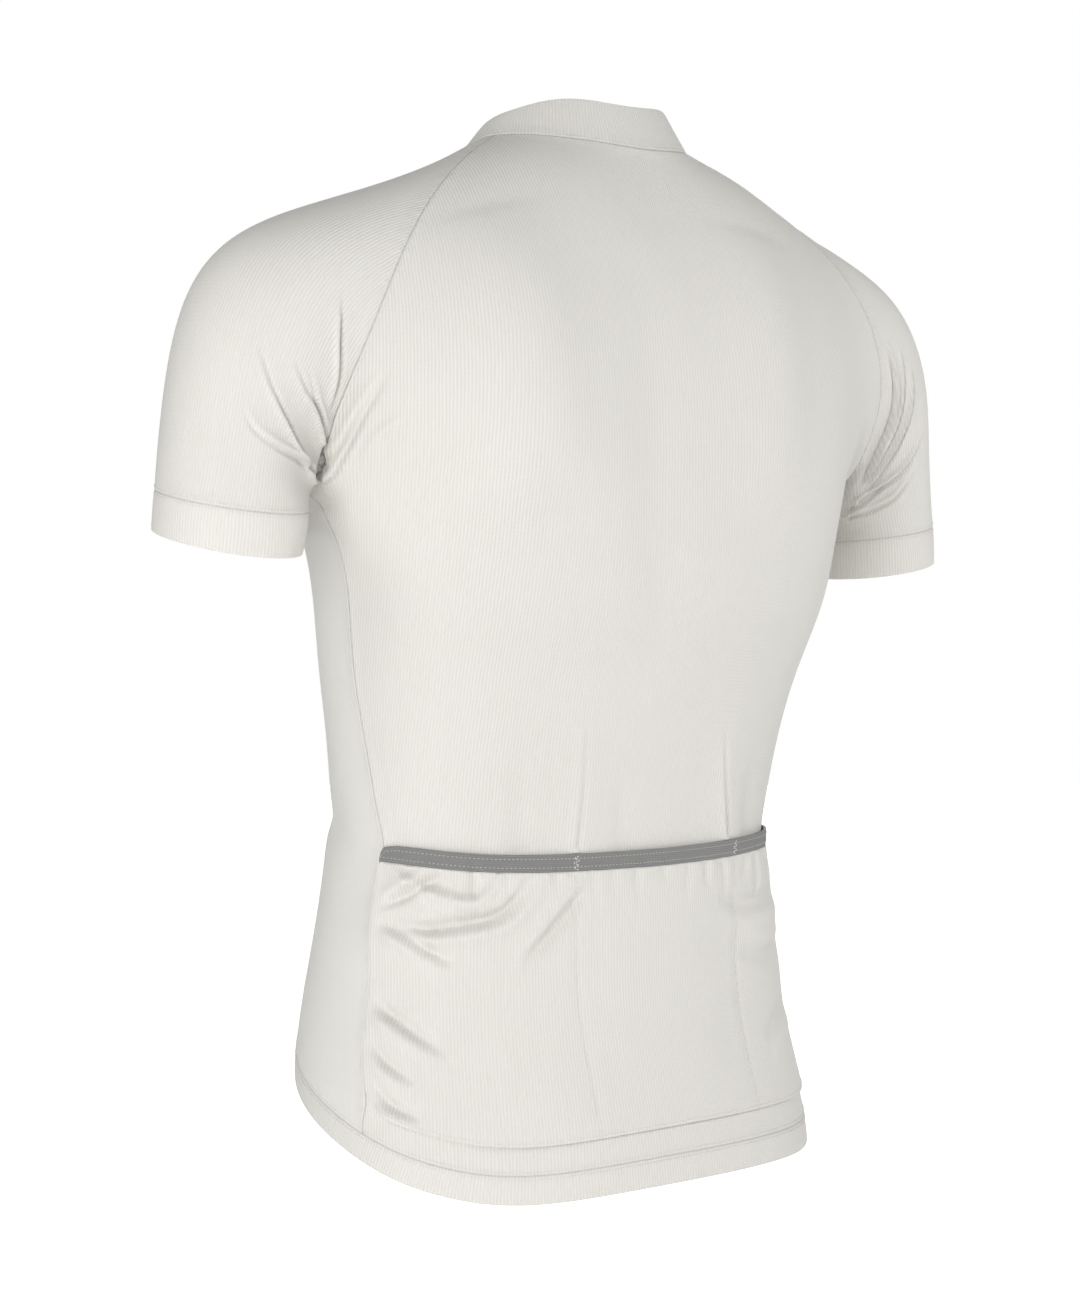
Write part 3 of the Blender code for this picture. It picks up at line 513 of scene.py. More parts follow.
def cut_open(mesh, place):
    """Marks a tube's own seam: from the border vertex nearest a place, straight to the other border."""
    edging = {vertex for edge in borders(mesh) for vertex in edge.verts}
    start = min(edging, key=lambda v: (v.co - Vector(place)).length)
    ring, waiting = {start}, [start]
    while waiting:
        for edge in waiting.pop().link_edges:
            for vertex in edge.verts:
                if edge.is_boundary and vertex not in ring:
                    ring.add(vertex)
                    waiting.append(vertex)
    goal = min(edging - ring, key=lambda v: (v.co - start.co).length)
    at, passed = start, {start}
    while at is not goal:
        steps = [(edge.other_vert(at), edge) for edge in at.link_edges if edge.other_vert(at) not in passed]
        at, edge = min(steps, key=lambda step: (step[0].co - goal.co).length)
        edge.seam = True
        passed.add(at)


def lay_flat(piece, middle):
    """Unwraps a sheet to its flat pattern, in metres, with the grain along the middle line upwards."""
    select_only(piece)
    bpy.ops.object.mode_set(mode="EDIT")
    bpy.ops.mesh.select_all(action="SELECT")
    bpy.ops.uv.unwrap(method="MINIMUM_STRETCH", fill_holes=False, correct_aspect=False, margin=0.0)
    bpy.ops.object.mode_set(mode="OBJECT")
    mesh = piece.data
    layer = mesh.uv_layers.active
    layer.name = "flat_pattern"
    flat = np.empty(len(mesh.loops) * 2)
    mesh.uv_layers["flat_pattern"].uv.foreach_get("vector", flat)
    flat = flat.reshape(-1, 2)
    index = np.empty(len(mesh.loops), np.int32)
    mesh.loops.foreach_get("vertex_index", index)
    points = np.empty(len(mesh.vertices) * 3)
    mesh.vertices.foreach_get("co", points)
    rise = points.reshape(-1, 3)[index] @ -np.subtract(middle[1], middle[0])
    slope = np.linalg.lstsq(np.column_stack((flat, np.ones(len(flat)))), rise, rcond=None)[0][:2]
    slope /= np.linalg.norm(slope)
    flat = flat @ np.array(((slope[1], slope[0]), (-slope[0], slope[1])))
    spans = [flat[list(face.loop_indices)] for face in mesh.polygons]
    area = sum(abs(np.cross(s[2:] - s[0], s[1:-1] - s[0]).sum()) / 2 for s in spans)
    real = sum(face.area for face in mesh.polygons)
    flat *= (real / area) ** 0.5
    flat -= flat.min(axis=0)
    mesh.uv_layers["flat_pattern"].uv.foreach_set("vector", flat.ravel())


def apply_modifier(piece, kind, **settings):
    """Adds a modifier with its settings and applies it."""
    select_only(piece)
    modifier = piece.modifiers.new(kind.lower(), kind)
    for name, value in settings.items():
        setattr(modifier, name, value)
    bpy.ops.object.modifier_apply(modifier=modifier.name)


def read_points(piece):
    """Vertices and their normals."""
    mesh = piece.data
    points, normals = np.empty(len(mesh.vertices) * 3), np.empty(len(mesh.vertices) * 3, np.float32)
    mesh.vertices.foreach_get("co", points)
    mesh.vertex_normals.foreach_get("vector", normals)
    return points.reshape(-1, 3), normals.reshape(-1, 3).astype(float)


def write_points(piece, points):
    """Moves a piece's vertices."""
    piece.data.vertices.foreach_set("co", points.ravel())
    piece.data.update()


def drawn(places, count):
    """Points at even steps on a soft curve through a few places."""
    places = np.array(places, float)
    ends = np.concatenate(([2 * places[0] - places[1]], places, [2 * places[-1] - places[-2]]))
    line = []
    for at in np.linspace(0, len(places) - 1 - 1e-6, count):
        k, t = int(at), at - int(at)
        a, b, c, d = ends[k:k + 4]
        line.append(0.5 * (2 * b + (c - a) * t + (2 * a - 5 * b + 4 * c - d) * t**2
                           + (3 * b - a - 3 * c + d) * t**3))
    return np.array(line)


def solid_surface():
    """What the creases are drawn on: all the cloth solids."""
    points, faces = [], []
    for name, *_ in CLOTH_PIECES:
        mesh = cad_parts[name].data
        start = len(points)
        points += [vertex.co.copy() for vertex in mesh.vertices]
        faces += [[start + k for k in face.vertices] for face in mesh.polygons]
    return BVHTree.FromPolygons(points, faces)


def gathers():
    """The pocket cloth's small gathers under the elastic, as creases."""
    rows = []
    for k, x in enumerate(GATHERS):
        length = GATHER_LENGTHS[k % len(GATHER_LENGTHS)]
        lean = 0.002 * (k % 3 - 1)
        rows.append(("behind", GATHER_HALF_WIDTH, GATHER_DEPTHS[k % len(GATHER_DEPTHS)], 0.4, "tip",
                     ((x, GATHER_TOP), (x + lean, GATHER_TOP - length / 2), (x + 2 * lean, GATHER_TOP - length))))
    return tuple(rows)


def crease_lines(surface, rows):
    """Each crease as (line on the cloth, half width, depth, ridge, fading)."""
    lines = []
    for seen, width, depth, ridge, fading, places in rows:
        side = 1 if seen == "behind" else -1
        line = []
        for x, z in drawn(places, CREASE_PLACES):
            hit = surface.ray_cast(Vector((x, side * CREASE_SIGHT, z)), Vector((0, -side, 0)))[0]
            if hit is not None:
                line.append(hit)
        lines.append((np.array(line), width, depth, ridge, fading))
    return lines


def beside(points, normals, line, reach):
    """Which points lie near a line on the cloth, how far aside, on which side, and how far along it."""
    near = ((points > line.min(axis=0) - reach) & (points < line.max(axis=0) + reach)).all(axis=1)
    near = np.flatnonzero(near)
    own, out = points[near], normals[near]
    best = np.full(len(near), np.inf)
    side, share = np.zeros(len(near)), np.zeros(len(near))
    steps = np.linalg.norm(np.diff(line, axis=0), axis=1)
    along = np.concatenate(([0], steps.cumsum())) / steps.sum()
    for k, step in enumerate(np.diff(line, axis=0)):
        t = np.clip((own - line[k]) @ step / (step @ step), 0, 1)
        away = own - line[k] - t[:, None] * step
        through = (away * out).sum(axis=1)
        level = away - through[:, None] * out
        far = np.linalg.norm(level, axis=1) + np.where(abs(through) > CREASE_REACH + 0.3 * reach, 1.0, 0.0)
        closer = far < best
        best = np.where(closer, far, best)
        turn = np.sign((level * np.cross(out, step)).sum(axis=1))
        side = np.where(closer, far * turn, side)
        share = np.where(closer, along[k] + t * (along[k + 1] - along[k]), share)
    return near, side, share


def crease(points, normals, lines):
    """Presses creases into a sheet: a trough along each line, a ridge beside it and a soft swelling."""
    move = np.zeros(len(points))
    for line, width, depth, ridge, fading in lines:
        near, side, share = beside(points, normals, line, 6 * width)
        strength = 1 - share**2 if fading == "tip" else np.sin(pi * share.clip(0, 1)).clip(0) ** 0.7
        lean = np.sign(ridge) * side
        trough = np.exp(-((side / width) ** 2))
        crest = abs(ridge) * np.exp(-(((lean - 2.0 * width) / (1.2 * width)) ** 2))
        swell = SWELL * np.exp(-(((lean - width) / (4 * width)) ** 2)) if width < SHARP else 0.0
        move[near] += depth * strength * (crest + swell - trough)
    return points + normals * move[:, None]


def round_off(mesh, points, normals):
    """Lifts the vertices that a split has added onto the curve between those beside them."""
    mesh.verts.index_update()
    added = list(mesh.verts)[len(points):]
    lifts = {}
    for vertex in added:
        old = [edge.other_vert(vertex).index for edge in vertex.link_edges]
        old = [index for index in old if index < len(points)]
        ends = min(((a, b) for a in old for b in old if a < b), default=None,
                   key=lambda pair: np.linalg.norm(points[pair[0]] + points[pair[1]] - 2 * np.array(vertex.co)))
        if ends:
            a, b = ends
            out = normals[a] + normals[b]
            rise = (points[b] - points[a]) @ (normals[b] - normals[a]) / 8
            lifts[vertex] = out * (rise / np.linalg.norm(out))
    for vertex in added:
        if vertex not in lifts:
            near = [edge.other_vert(vertex) for edge in vertex.link_edges]
            near = [lifts[other] for other in near if other in lifts]
            vertex.co += Vector(2 * np.mean(near, axis=0)) if near else Vector()
    for vertex, lift in lifts.items():
        vertex.co += Vector(lift)


def refine(piece, lines):
    """Splits the faces along narrow creases and along the border finer."""
    for turn, (spread, edging) in enumerate(REFINED):
        points, normals = read_points(piece)
        mesh = bmesh.new()
        mesh.from_mesh(piece.data)
        step = float(np.median([edge.calc_length() for edge in mesh.edges])) / 2**turn
        wanted = np.zeros(len(points), bool)
        for line, width, *_ in lines:
            if width < 1.5 * step:
                near, side, _ = beside(points, normals, line, 6 * width)
                wanted[near[abs(side) < spread * width + 0.001]] = True
        if step > FINE_EDGING:
            border = tree_of([edge.verts[0].co.lerp(edge.verts[1].co, share)
                              for edge in borders(mesh) for share in (0.0, 0.25, 0.5, 0.75)])
            wanted |= np.array([border.find(point)[2] < edging for point in points])
        edges = [edge for edge in mesh.edges if all(wanted[vertex.index] for vertex in edge.verts)]
        if edges:
            bmesh.ops.subdivide_edges(mesh, edges=edges, cuts=1, use_grid_fill=True)
            round_off(mesh, points, normals)
            mesh.to_mesh(piece.data)
        mesh.free()


def borders(mesh):
    """The edges of a sheet's border."""
    return [edge for edge in mesh.edges if len(edge.link_faces) == 1]


def border_of(piece):
    """Vertex pairs of a sheet's border edges, and the way inwards at each border vertex."""
    mesh = bmesh.new()
    mesh.from_mesh(piece.data)
    pairs, inwards = [], {}
    for edge in borders(mesh):
        pairs.append([vertex.index for vertex in edge.verts])
        along = (edge.verts[1].co - edge.verts[0].co).normalized()
        way = edge.link_faces[0].calc_center_median() - edge.verts[0].co
        way = (way - along * way.dot(along)).normalized()
        for index in pairs[-1]:
            inwards[index] = inwards.get(index, Vector()) + way
    mesh.free()
    return np.array(pairs), {index: np.array(way.normalized()) for index, way in inwards.items()}


def tree_of(points):
    """A search tree of points, whose numbers are their places in the list."""
    tree = KDTree(len(points))
    for k, point in enumerate(points):
        tree.insert(point, k)
    tree.balance()
    return tree


def close_seams(sheets):
    """Brings the borders that are sewn together edge to edge, and turns them in along the seam."""
    shares = np.arange(8)[:, None, None] / 8
    for sheet in sheets.values():
        pairs = sheet["pairs"]
        for name in ("before", "after", "out"):
            ends = sheet[name][pairs]
            sheet["along " + name] = (ends[:, 0] + (ends[:, 1] - ends[:, 0]) * shares).reshape(-1, 3)
    moved = {}
    for node, sheet in sheets.items():
        others = {name: other for name, other in sheets.items() if name != node and {name, node} != ZIP_SIDES}
        level = [other for name, other in others.items() if (name in SEWN_DOWN) == (node in SEWN_DOWN)]
        before, after, out = (np.concatenate([other["along " + name] for other in level])
                              for name in ("before", "after", "out"))
        tree = tree_of(before)
        around = tree_of(np.concatenate([other["along before"] for other in others.values()]))
        edging = sorted(sheet["inwards"])
        shift, way, sewn = np.zeros((len(edging), 3)), np.zeros((len(edging), 3)), np.zeros(len(edging), bool)
        for k, index in enumerate(edging):
            _, other, far = tree.find(sheet["before"][index])
            sewn[k] = around.find(sheet["before"][index])[2] < SEAM_MEETS
            own = sheet["after"][index]
            way[k] = sheet["out"][index]
            if far < SEAM_MEETS:
                way[k] = way[k] + out[other]
                way[k] /= np.linalg.norm(way[k]) + 1e-9
                shift[k] = (after[other] - own) / 2 + sheet["inwards"][index] * SEAM_GAP / 2
        nearest = tree_of(sheet["before"][edging])
        sewn_set = {index for index, joined in zip(edging, sewn) if joined}
        joined = np.array([a in sewn_set and b in sewn_set for a, b in sheet["pairs"]])
        line = sheet["along before"].reshape(8, -1, 3)[:, joined].reshape(-1, 3)
        seam = tree_of(line)
        points, far_from_seam = sheet["after"].copy(), np.full(len(sheet["after"]), 0.05)
        for k, point in enumerate(sheet["before"]):
            _, border, far = nearest.find(point)
            if far < 4 * SEAM_EASE:
                points[k] += shift[border] * np.exp(-((far / SEAM_EASE) ** 2))
                points[k] -= way[border] * SEAM_SINK * np.exp(-((far / SEAM_LIP) ** 2))
            if len(line):
                far_from_seam[k] = min(seam.find(point)[2], 0.05)
        moved[node] = points
        write_points(sheet["piece"], points)
        attribute = sheet["piece"].data.attributes.new("from_seam", "FLOAT", "POINT")
        attribute.data.foreach_set("value", far_from_seam)


def creased_surface(sheet):
    """A sheet's surface with its creases, to measure from."""
    mesh = sheet["piece"].data
    mesh.calc_loop_triangles()
    return BVHTree.FromPolygons(sheet["after"].tolist(), [list(t.vertices) for t in mesh.loop_triangles])


def sew_down(sheet, wall, under):
    """Brings a pocket piece's sides down onto the cloth under them."""
    ground = creased_surface(under)
    edging = [index for index, inwards in sheet["inwards"].items() if abs(inwards[2]) < SEWN_SLOPE]
    seam = tree_of(sheet["before"][edging])
    for k, point in enumerate(sheet["before"]):
        far = seam.find(point)[2]
        if far < 3 * SEWN_EASE:
            place, out, _, _ = ground.find_nearest(Vector(sheet["after"][k]))
            height = (Vector(sheet["after"][k]) - place).dot(out) - wall - SEWN_CLEAR
            sheet["after"][k] -= np.array(out) * height * np.exp(-((far / SEWN_EASE) ** 2))


def tuck_under(sheet, cover, wall):
    """Lets the cloth under a pocket piece give way to the folds that are pressed into that piece."""
    covering = creased_surface(cover)
    seam = tree_of(sheet["before"][sorted(sheet["inwards"])])
    for k, point in enumerate(sheet["after"]):
        place, out, _, _ = covering.find_nearest(Vector(point), TUCK_REACH)
        if place is None:
            continue
        height = (Vector(point) - place).dot(out)
        aside = (Vector(point) - place - out * height).length
        if aside < TUCK_EDGE and height > -wall - TUCK_CLEAR:
            ease = 1 - np.exp(-((seam.find(sheet["before"][k])[2] / TUCK_EASE) ** 2))
            sheet["after"][k] -= np.array(out) * (height + wall + TUCK_CLEAR) * ease


SHEETS = {}  # each cloth piece's outer sheet before it gets its wall: its surface and its border lines


def border_lines(piece):
    """The border of a sheet as runs of (points, normals, directions inwards)."""
    mesh = bmesh.new()
    mesh.from_mesh(piece.data)
    mesh.normal_update()
    unused = dict.fromkeys(borders(mesh))  # keeps their order, so that each run of this file starts at the same edges
    runs = []
    while unused:
        edge = next(iter(unused))
        del unused[edge]
        at, run = edge.verts[0], []
        start = at
        while True:
            face = edge.link_faces[0]
            after = edge.other_vert(at)
            tangent = (after.co - at.co).normalized()
            inwards = (face.calc_center_median() - at.co)
            inwards = (inwards - tangent * inwards.dot(tangent)).normalized()
            run.append((at.co.copy(), at.normal.copy(), inwards))
            at = after
            following = [e for e in at.link_edges if e in unused]
            if not following:
                break
            edge = following[0]
            del unused[edge]
        runs.append(([np.array(column) for column in zip(*run)], at is start))
    surface = BVHTree.FromBMesh(mesh)
    mesh.free()
    return surface, runs


def make_sheet(node, finish, level, standing, middle, lines, materials):
    """The outer sheet of one cut piece, with its creases, before the seams are closed."""
    mesh = outer_face(node, middle)
    if middle is not TRUNK:
        x, y, z = FORK if node.startswith("sleeve") else CUFF_UNDERSIDE
        cut_open(mesh, (-x if middle is SLEEVE_RIGHT else x, y, z))
    keep_corners(mesh)
    piece = new_piece(node + "_cloth", mesh, materials[finish])
    lay_flat(piece, middle)
    apply_modifier(piece, "SUBSURF", levels=level, render_levels=level, boundary_smooth="PRESERVE_CORNERS")
    refine(piece, lines)
    before, out = read_points(piece)
    after = crease(before, out, lines) + out * standing
    pairs, inwards = border_of(piece)
    return {"piece": piece, "before": before, "after": after, "out": out, "pairs": pairs, "inwards": inwards}


def make_wall(piece, node, wall):
    """Keeps a sheet's border lines, gives it its wall, shades it smooth, hides its solid and hangs it on the garment.
    """
    SHEETS[node] = border_lines(piece)
    apply_modifier(piece, "SOLIDIFY", thickness=wall, offset=-1.0, use_even_offset=False)
    select_only(piece)
    bpy.ops.object.shade_smooth_by_angle(angle=SMOOTH_EDGE)
    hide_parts(node)
    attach(piece, "garment")


# Sewing

def shared_runs(first, second):
    """The stretches of one sheet's border that lie along another's."""
    places = []
    for (points, _, _), closed in SHEETS[second][1]:
        ends = np.roll(points, -1, axis=0) if closed else np.concatenate((points[1:], points[-1:]))
        places += [a + (b - a) * share for a, b in zip(points, ends) for share in (0.0, 0.25, 0.5, 0.75)]
    tree = tree_of(places)
    found = []
    for (points, normals, inwards), closed in SHEETS[first][1]:
        meets = [tree.find(point)[2] < SEAM_MEETS for point in points]
        count, run = len(points), []
        start = meets.index(False) if closed and not all(meets) else 0
        for k in range(start, start + count + (1 if closed else 0)):
            if meets[k % count]:
                run.append(k % count)
            if run and (not meets[k % count] or k == start + count - (0 if closed else 1)):
                if len(run) > 2:
                    found.append((points[run], normals[run], inwards[run]))
                run = []
    return found


def evenly_spaced(points, normals, step):
    """Points and normals at even steps along a line."""
    far = np.concatenate(([0], np.linalg.norm(np.diff(points, axis=0), axis=1).cumsum()))
    at = np.arange(step / 2, far[-1], step)
    return tuple(np.stack([np.interp(at, far, column) for column in array.T], axis=1) for array in (points, normals))


def pick_faces(piece, wanted):
    """Selects some faces of the piece that is being edited, and no others."""
    bpy.ops.mesh.select_mode(type="FACE")
    bpy.ops.mesh.select_all(action="DESELECT")
    mesh = bmesh.from_edit_mesh(piece.data)
    for face in mesh.faces:
        face.select_set(wanted(face))
    bmesh.update_edit_mesh(piece.data)


def model_stitch():
    """One stitch, along Z: a round thread whose ends taper into the cloth. Out of the cloth is +X."""
    bpy.ops.object.select_all(action="DESELECT")
    bpy.ops.mesh.primitive_cylinder_add(vertices=6, radius=0.95 * THREAD, depth=0.68 * STITCH)
    stitch = bpy.context.active_object
    bpy.ops.object.mode_set(mode="EDIT")
    for side in (1, -1):
        pick_faces(stitch, lambda face: face.normal.z * side > 0.9)
        bpy.ops.mesh.extrude_region_move(TRANSFORM_OT_translate={"value": (0, 0, side * 0.16 * STITCH)})
        bpy.ops.transform.resize(value=(0.37, 0.37, 1.0), center_override=(0, 0, 0))
    bpy.ops.object.mode_set(mode="OBJECT")
    return stitch


def model_tooth():
    """One moulded tooth: foot on the tape at -X, a waist, and the head that locks. Out of the tape is +Y."""
    long, high, stand = TOOTH
    bpy.ops.object.select_all(action="DESELECT")
    bpy.ops.mesh.primitive_cube_add(size=1.0, location=(-long / 4, 0, 0), scale=(long / 2, stand, 0.8 * high))
    tooth = bpy.context.active_object
    bpy.ops.object.transform_apply(location=True, rotation=False, scale=True)
    bpy.ops.object.mode_set(mode="EDIT")
    for length, narrowing in ((0.16 * long, 0.7), (0.34 * long, 1 / 0.7)):
        pick_faces(tooth, lambda face: face.normal.x > 0.9)
        bpy.ops.mesh.extrude_region_move(TRANSFORM_OT_translate={"value": (length, 0, 0)})
        bpy.ops.transform.resize(value=(1.0, 1.0, narrowing), center_override=(0, 0, 0))
    pick_faces(tooth, lambda face: face.normal.y > 0.9)
    bpy.ops.mesh.bevel(offset=0.00008, segments=1, affect="EDGES")
    bpy.ops.object.mode_set(mode="OBJECT")
    return tooth


def copied(part, name, material, middles, axes):
    """One piece of copies of a modelled part, each at its place with its own X, Y and Z, and the part's removal."""
    count, faces = len(part.data.vertices), [list(face.vertices) for face in part.data.polygons]
    points = np.empty(count * 3)
    part.data.vertices.foreach_get("co", points)
    points = (points.reshape(-1, 3) @ np.array(axes)).reshape(-1, count, 3) + np.array(middles)[:, None]
    data = bpy.data.meshes.new(name)
    data.from_pydata(points.reshape(-1, 3), [], [[start * count + k for k in face]
                                                 for start in range(len(points)) for face in faces])
    data.materials.append(material)
    piece = bpy.data.objects.new(name, data)
    bpy.context.scene.collection.objects.link(piece)
    bpy.data.objects.remove(part)
    return piece


def add_row(row, points, surface, length=STITCH, gap=STITCH_GAP, half=THREAD):
    """A row of stitches along a line, seated on a sheet's surface: the middle and the axes of each."""
    seats, outs = [], []
    for point in points:
        seat, normal, _, _ = surface.find_nearest(Vector(point))
        seats.append(seat)
        outs.append(normal)
    seats, outs = np.array(seats), np.array(outs)
    middles, outs = evenly_spaced(seats, outs, length + gap)
    if len(middles) < 2:
        return
    alongs = np.gradient(middles, axis=0)
    alongs /= np.linalg.norm(alongs, axis=1)[:, None]
    across = np.cross(alongs, outs)
    across /= np.linalg.norm(across, axis=1)[:, None]
    sizes = np.array((half / THREAD, half / THREAD, length / STITCH))[:, None]
    for middle, out, side, along in zip(middles, outs, across, alongs):
        row.append((middle + out * half * 0.7, np.array((np.cross(side, along), side, along)) * sizes))


def add_ribbon(mesh, points, normals, inwards, depth):
    """A seam allowance: a narrow strip behind a seam."""
    rows = []
    for point, normal, inward in zip(points, normals, inwards):
        base = Vector(point) - Vector(normal) * depth
        rows.append([mesh.verts.new(base + Vector(inward) * side) for side in (ALLOWANCE_HALF, -ALLOWANCE_HALF)])
    for (a, b), (c, d) in zip(rows, rows[1:]):
        mesh.faces.new((a, b, d, c))


def level_lines(node, distance, top=np.inf):
    """Lines inside a piece's border, along the stretches of it that run level, below a height."""
    lines = []
    for (points, _, inwards), _ in SHEETS[node][1]:
        steps = np.gradient(points, axis=0)
        level = abs(steps[:, 2]) < LEVEL * np.linalg.norm(steps, axis=1)
        line = (points + inwards * distance)[level & (points[:, 2] < top)]
        breaks = np.flatnonzero(np.linalg.norm(np.diff(line, axis=0), axis=1) > ROW_BREAK) + 1
        lines += [part for part in np.split(line, breaks) if len(part) >= ROW_LEAST]
    return lines


def line_down(x, top, foot, count=60):
    """A straight line down the back at an x, behind the cloth."""
    return [(x, BEHIND, z) for z in np.linspace(top, foot, count)]


def snapped(points, surface):
    """Points moved along Y from behind onto a sheet."""
    line = []
    for point in points:
        hit = surface.ray_cast(Vector(point), Vector((0, -1, 0)))[0]
        if hit is not None:
            line.append(hit)
    return line


def bartack(x, top):
    """The zigzag of a bartack, as seen from behind."""
    line = []
    for k in range(BARTACK_TURNS + 1):
        side = 1 if k % 2 else -1
        line.append((x + side * BARTACK_HALF, BEHIND, top - BARTACK_HEIGHT * k / BARTACK_TURNS))
    return line


def top_at(surface, x):
    """The height of a sheet's top edge at an x, seen from behind."""
    return max(z for z in np.arange(-0.40, -0.70, -0.0005)
               if surface.ray_cast(Vector((x, BEHIND, z)), Vector((0, -1, 0)))[0] is not None)


# Operators

class JERSEY_OT_cloth(bpy.types.Operator):
    """Cloth pieces: panels, bands, pocket, elastic and zip tapes"""

    bl_idname = "jersey.cloth"
    bl_label = "Cloth pieces"

    def execute(self, context):
        materials = {
            "ribbed": knit_material("ribbed_polyester_knit", 0.5, 0.8),
            "plain": knit_material("plain_polyester_knit", 0.22, 0.35),
            "elastic": elastic_material(),
            "tape": tape_material(),
        }
        surface = solid_surface()
        body, pocket = crease_lines(surface, CREASES), crease_lines(surface, POCKET_CREASES + gathers())
        sheets = {}
        for node, finish, level, _, standing, middle, _, _ in CLOTH_PIECES:
            lines = pocket if node in SEWN_DOWN else body
            sheets[node] = make_sheet(node, finish, level, standing, middle, lines, materials)
        for node, _, _, wall, *_ in CLOTH_PIECES:
            if node in SEWN_DOWN:
                sew_down(sheets[node], wall, sheets["back"])
                tuck_under(sheets["back"], sheets[node], wall)
        close_seams(sheets)
        for node, finish, _, wall, _, _, cut, area in CLOTH_PIECES:
            make_wall(sheets[node]["piece"], node, wall)
        return {"FINISHED"}


class JERSEY_OT_sewing(bpy.types.Operator):
    """Sewing: seam allowances behind the seams, rows of stitches and bartacks"""

    bl_idname = "jersey.sewing"
    bl_label = "Sewing"

    def execute(self, context):
        thread = thread_material()
        stitches, allowances = [], bmesh.new()
        for first, second, rows in SEAMS:
            for points, normals, inwards in shared_runs(first, second):
                add_ribbon(allowances, points[2:-2], normals[2:-2], inwards[2:-2], ALLOWANCE_DEPTH)
                for distance in rows:
                    add_row(stitches, points + inwards * distance, SHEETS[first][0])
        pocket, elastic = SHEETS["pocket_panel"][0], SHEETS["pocket_elastic"][0]
        for x in POCKET_SEAMS:
            add_row(stitches, snapped(line_down(x, *DIVIDER), pocket), pocket)
            tack = bartack(x, top_at(elastic, x) - BARTACK_DROP)
            add_row(stitches, snapped(tack, elastic), elastic, *BARTACK_STITCH)
        for line in level_lines("pocket_elastic", ELASTIC_ROW):
            add_row(stitches, line, elastic, *ELASTIC_STITCH)
        for line in level_lines("pocket_panel", FOOT_ROW, top=DIVIDER[1] + FOOT_RISE):
            add_row(stitches, line, pocket)
        sewn = copied(model_stitch(), "stitches", thread, *zip(*stitches))
        sewn.data.shade_smooth()
        behind = new_piece("seam_allowances", allowances, knit_material("overlocked_edges", 0.2, 0.5))
        apply_modifier(behind, "SOLIDIFY", thickness=ALLOWANCE_WALL, offset=0.0)
        for piece in (sewn, behind):
            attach(piece, "garment")
        return {"FINISHED"}


class JERSEY_OT_zip(bpy.types.Operator):
    """Zip: the closed rows of teeth, and the slider's and tab's finish"""

    bl_idname = "jersey.zip"
    bl_label = "Zip"

    def execute(self, context):
        metal = painted_metal()
        for node in ("zip_slider", "zip_pull"):
            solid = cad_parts[node]
            solid.data.materials.clear()
            solid.data.materials.append(metal)
        runs = shared_runs("zip_tape_left", "zip_tape_right")
        points = max((run[0] for run in runs), key=len)
        if points[0, 2] < points[-1, 2]:
            points = points[::-1]
        low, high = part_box("zip_slider")
        middles, _ = evenly_spaced(points, points, TOOTH_PITCH / 2)
        across, teeth = Vector((1.0, 0.0, 0.0)), []
        for k, (middle, along) in enumerate(zip(middles, np.gradient(middles, axis=0))):
            if low.z - SLIDER_CLEAR < middle[2] < high.z + SLIDER_CLEAR:
                continue
            down = Vector(along).normalized()
            out = across.cross(down).normalized()
            out = -out if out.y > 0 else out
            turn = -1 if k % 2 else 1
            place = Vector((-TOOTH_OFFSET * turn, middle[1], middle[2])) + out * (SEAM_SINK + TOOTH_STAND)
            teeth.append((place, np.array((across * turn, out, down * turn))))
        piece = copied(model_tooth(), "zip_teeth", moulded_teeth(), *zip(*teeth))
        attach(piece, "garment")
        return {"FINISHED"}


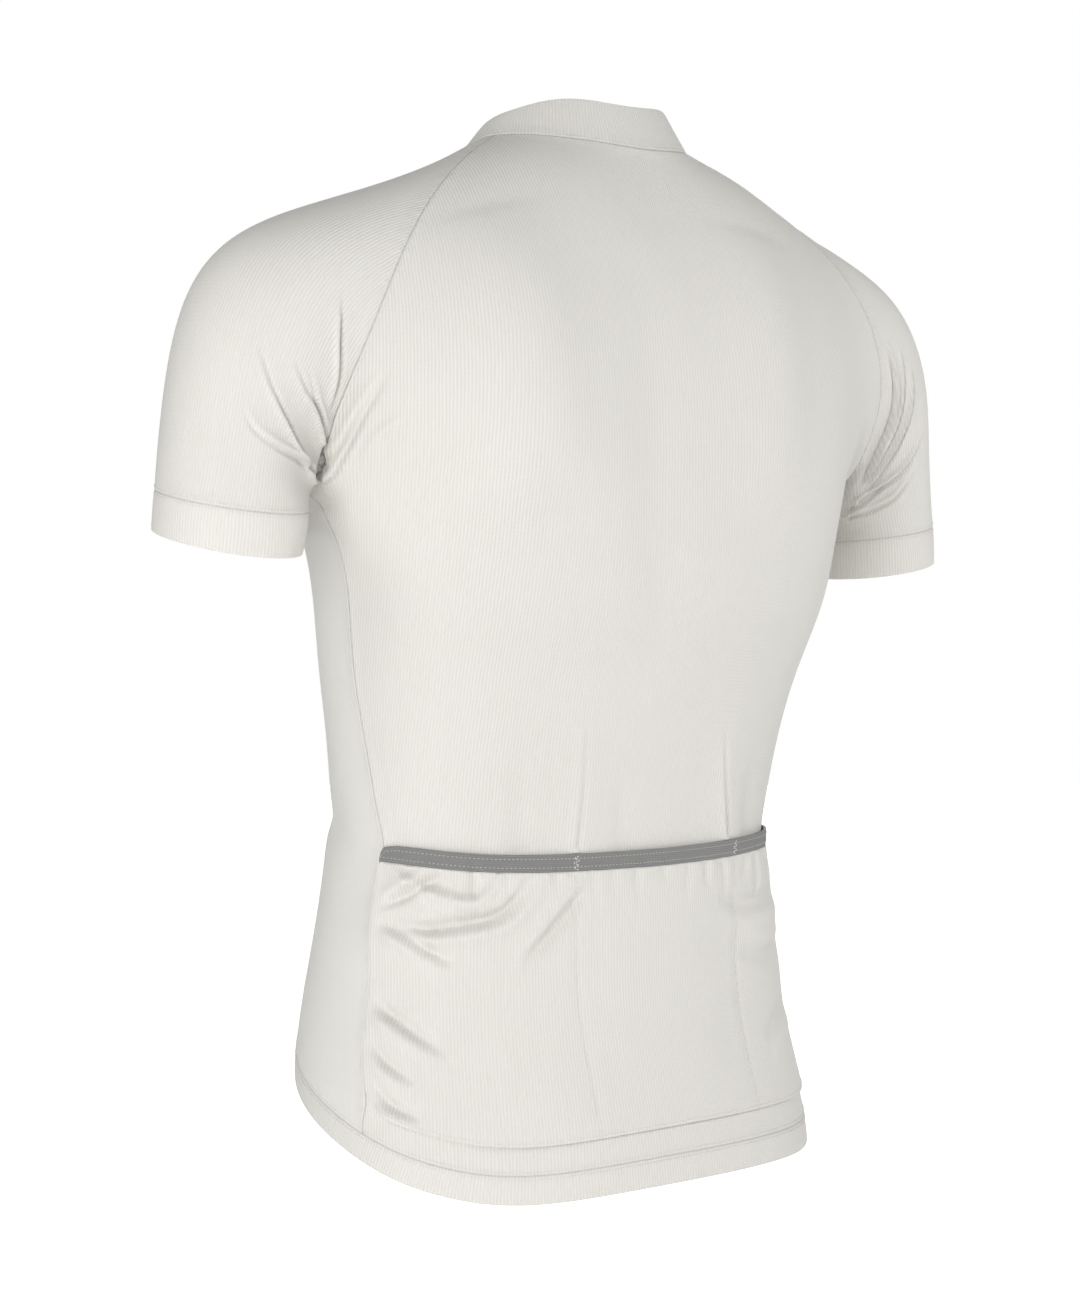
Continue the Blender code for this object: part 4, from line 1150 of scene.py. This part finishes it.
class JERSEY_OT_stage(bpy.types.Operator):
    """Pale floor, soft studio light and camera"""

    bl_idname = "jersey.stage"
    bl_label = "Stage"

    def execute(self, context):
        stage = context.scene.jersey_stage
        for name in ("Cube", "Light", "Camera"):
            if name in bpy.data.objects:
                bpy.data.objects.remove(bpy.data.objects[name])
        bpy.ops.object.select_all(action="DESELECT")
        bpy.ops.mesh.primitive_circle_add(vertices=96, radius=40.0, fill_type="NGON", location=(0, 0, stage.floor))
        floor = context.active_object
        floor.name = "floor"
        material, tree, shader = new_material("pale_studio_floor", roughness=0.9)
        shader.inputs["Base Color"].default_value = (0.9, 0.9, 0.9, 1.0)
        shader.inputs["Emission Color"].default_value = (1.0, 1.0, 1.0, 1.0)
        seen = add(tree, "ShaderNodeLightPath").outputs["Is Camera Ray"]
        tree.links.new(seen, shader.inputs["Emission Strength"])
        floor.data.materials.append(material)

        world = bpy.data.worlds.new("studio")
        context.scene.world = world
        world.use_nodes = True
        tree = world.node_tree
        tree.nodes.clear()
        ray = add(tree, "ShaderNodeLightPath").outputs["Is Camera Ray"]
        room = add(tree, "ShaderNodeBackground", {"Color": PAPER, "Strength": ROOM_LIGHT})
        paper = add(tree, "ShaderNodeBackground", {"Color": PAPER, "Strength": 1.0})
        mixed = add(tree, "ShaderNodeMixShader", {0: ray, 1: room.outputs[0], 2: paper.outputs[0]})
        add(tree, "ShaderNodeOutputWorld", {"Surface": mixed.outputs[0]})

        target = Vector((0.0, 0.0, stage.eye))
        for name, turn, height, size, power in LIGHTS:
            data = bpy.data.lights.new(name, "AREA")
            data.shape, data.size, data.energy = "DISK", size, power
            light = bpy.data.objects.new(name, data)
            context.scene.collection.objects.link(light)
            light.visible_camera = False
            light.location = target + Vector((sin(turn) * LIGHT_DISTANCE, cos(turn) * LIGHT_DISTANCE, height))
            light.rotation_mode = "QUATERNION"
            light.rotation_quaternion = (target - light.location).to_track_quat("-Z", "Y")

        data = bpy.data.cameras.new("camera")
        data.lens, data.sensor_width = stage.lens, 36.0
        data.shift_y = CAMERA_SHIFT
        camera = bpy.data.objects.new("camera", data)
        context.scene.collection.objects.link(camera)
        back, right = (sin(stage.turn), cos(stage.turn)), (-cos(stage.turn), sin(stage.turn))
        camera.location = (back[0] * stage.distance - right[0] * CAMERA_ASIDE,
                           back[1] * stage.distance - right[1] * CAMERA_ASIDE, stage.eye)
        camera.rotation_mode = "QUATERNION"
        camera.rotation_quaternion = Vector((-back[0], -back[1], 0.0)).to_track_quat("-Z", "Y")
        context.scene.camera = camera
        context.scene.view_settings.view_transform = "Standard"
        return {"FINISHED"}


class JERSEY_PT_panel(bpy.types.Panel):
    """Lists the jersey's operators"""

    bl_label = "Jersey"
    bl_space_type = "VIEW_3D"
    bl_region_type = "UI"
    bl_category = "Jersey"

    def draw(self, context):
        for group in (context.scene.jersey_cloth, context.scene.jersey_stage):
            for name in group.__annotations__:
                self.layout.prop(group, name)
        for operator in OPERATORS:
            self.layout.operator(operator.bl_idname)


OPERATORS = (JERSEY_OT_cloth, JERSEY_OT_sewing, JERSEY_OT_zip, JERSEY_OT_stage)
CLASSES = (JerseyCloth, JerseyStage, *OPERATORS, JERSEY_PT_panel)


def register():
    """Adds the properties, the operators and the panel."""
    for item in CLASSES:
        bpy.utils.register_class(item)
    bpy.types.Scene.jersey_cloth = PointerProperty(type=JerseyCloth)
    bpy.types.Scene.jersey_stage = PointerProperty(type=JerseyStage)


def unregister():
    """Takes them away again."""
    del bpy.types.Scene.jersey_cloth
    del bpy.types.Scene.jersey_stage
    for item in reversed(CLASSES):
        bpy.utils.unregister_class(item)


def main():
    """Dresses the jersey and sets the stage."""
    register()
    bpy.ops.jersey.cloth()
    bpy.ops.jersey.sewing()
    bpy.ops.jersey.zip()
    bpy.ops.jersey.stage()


if __name__ == "__main__":
    main()
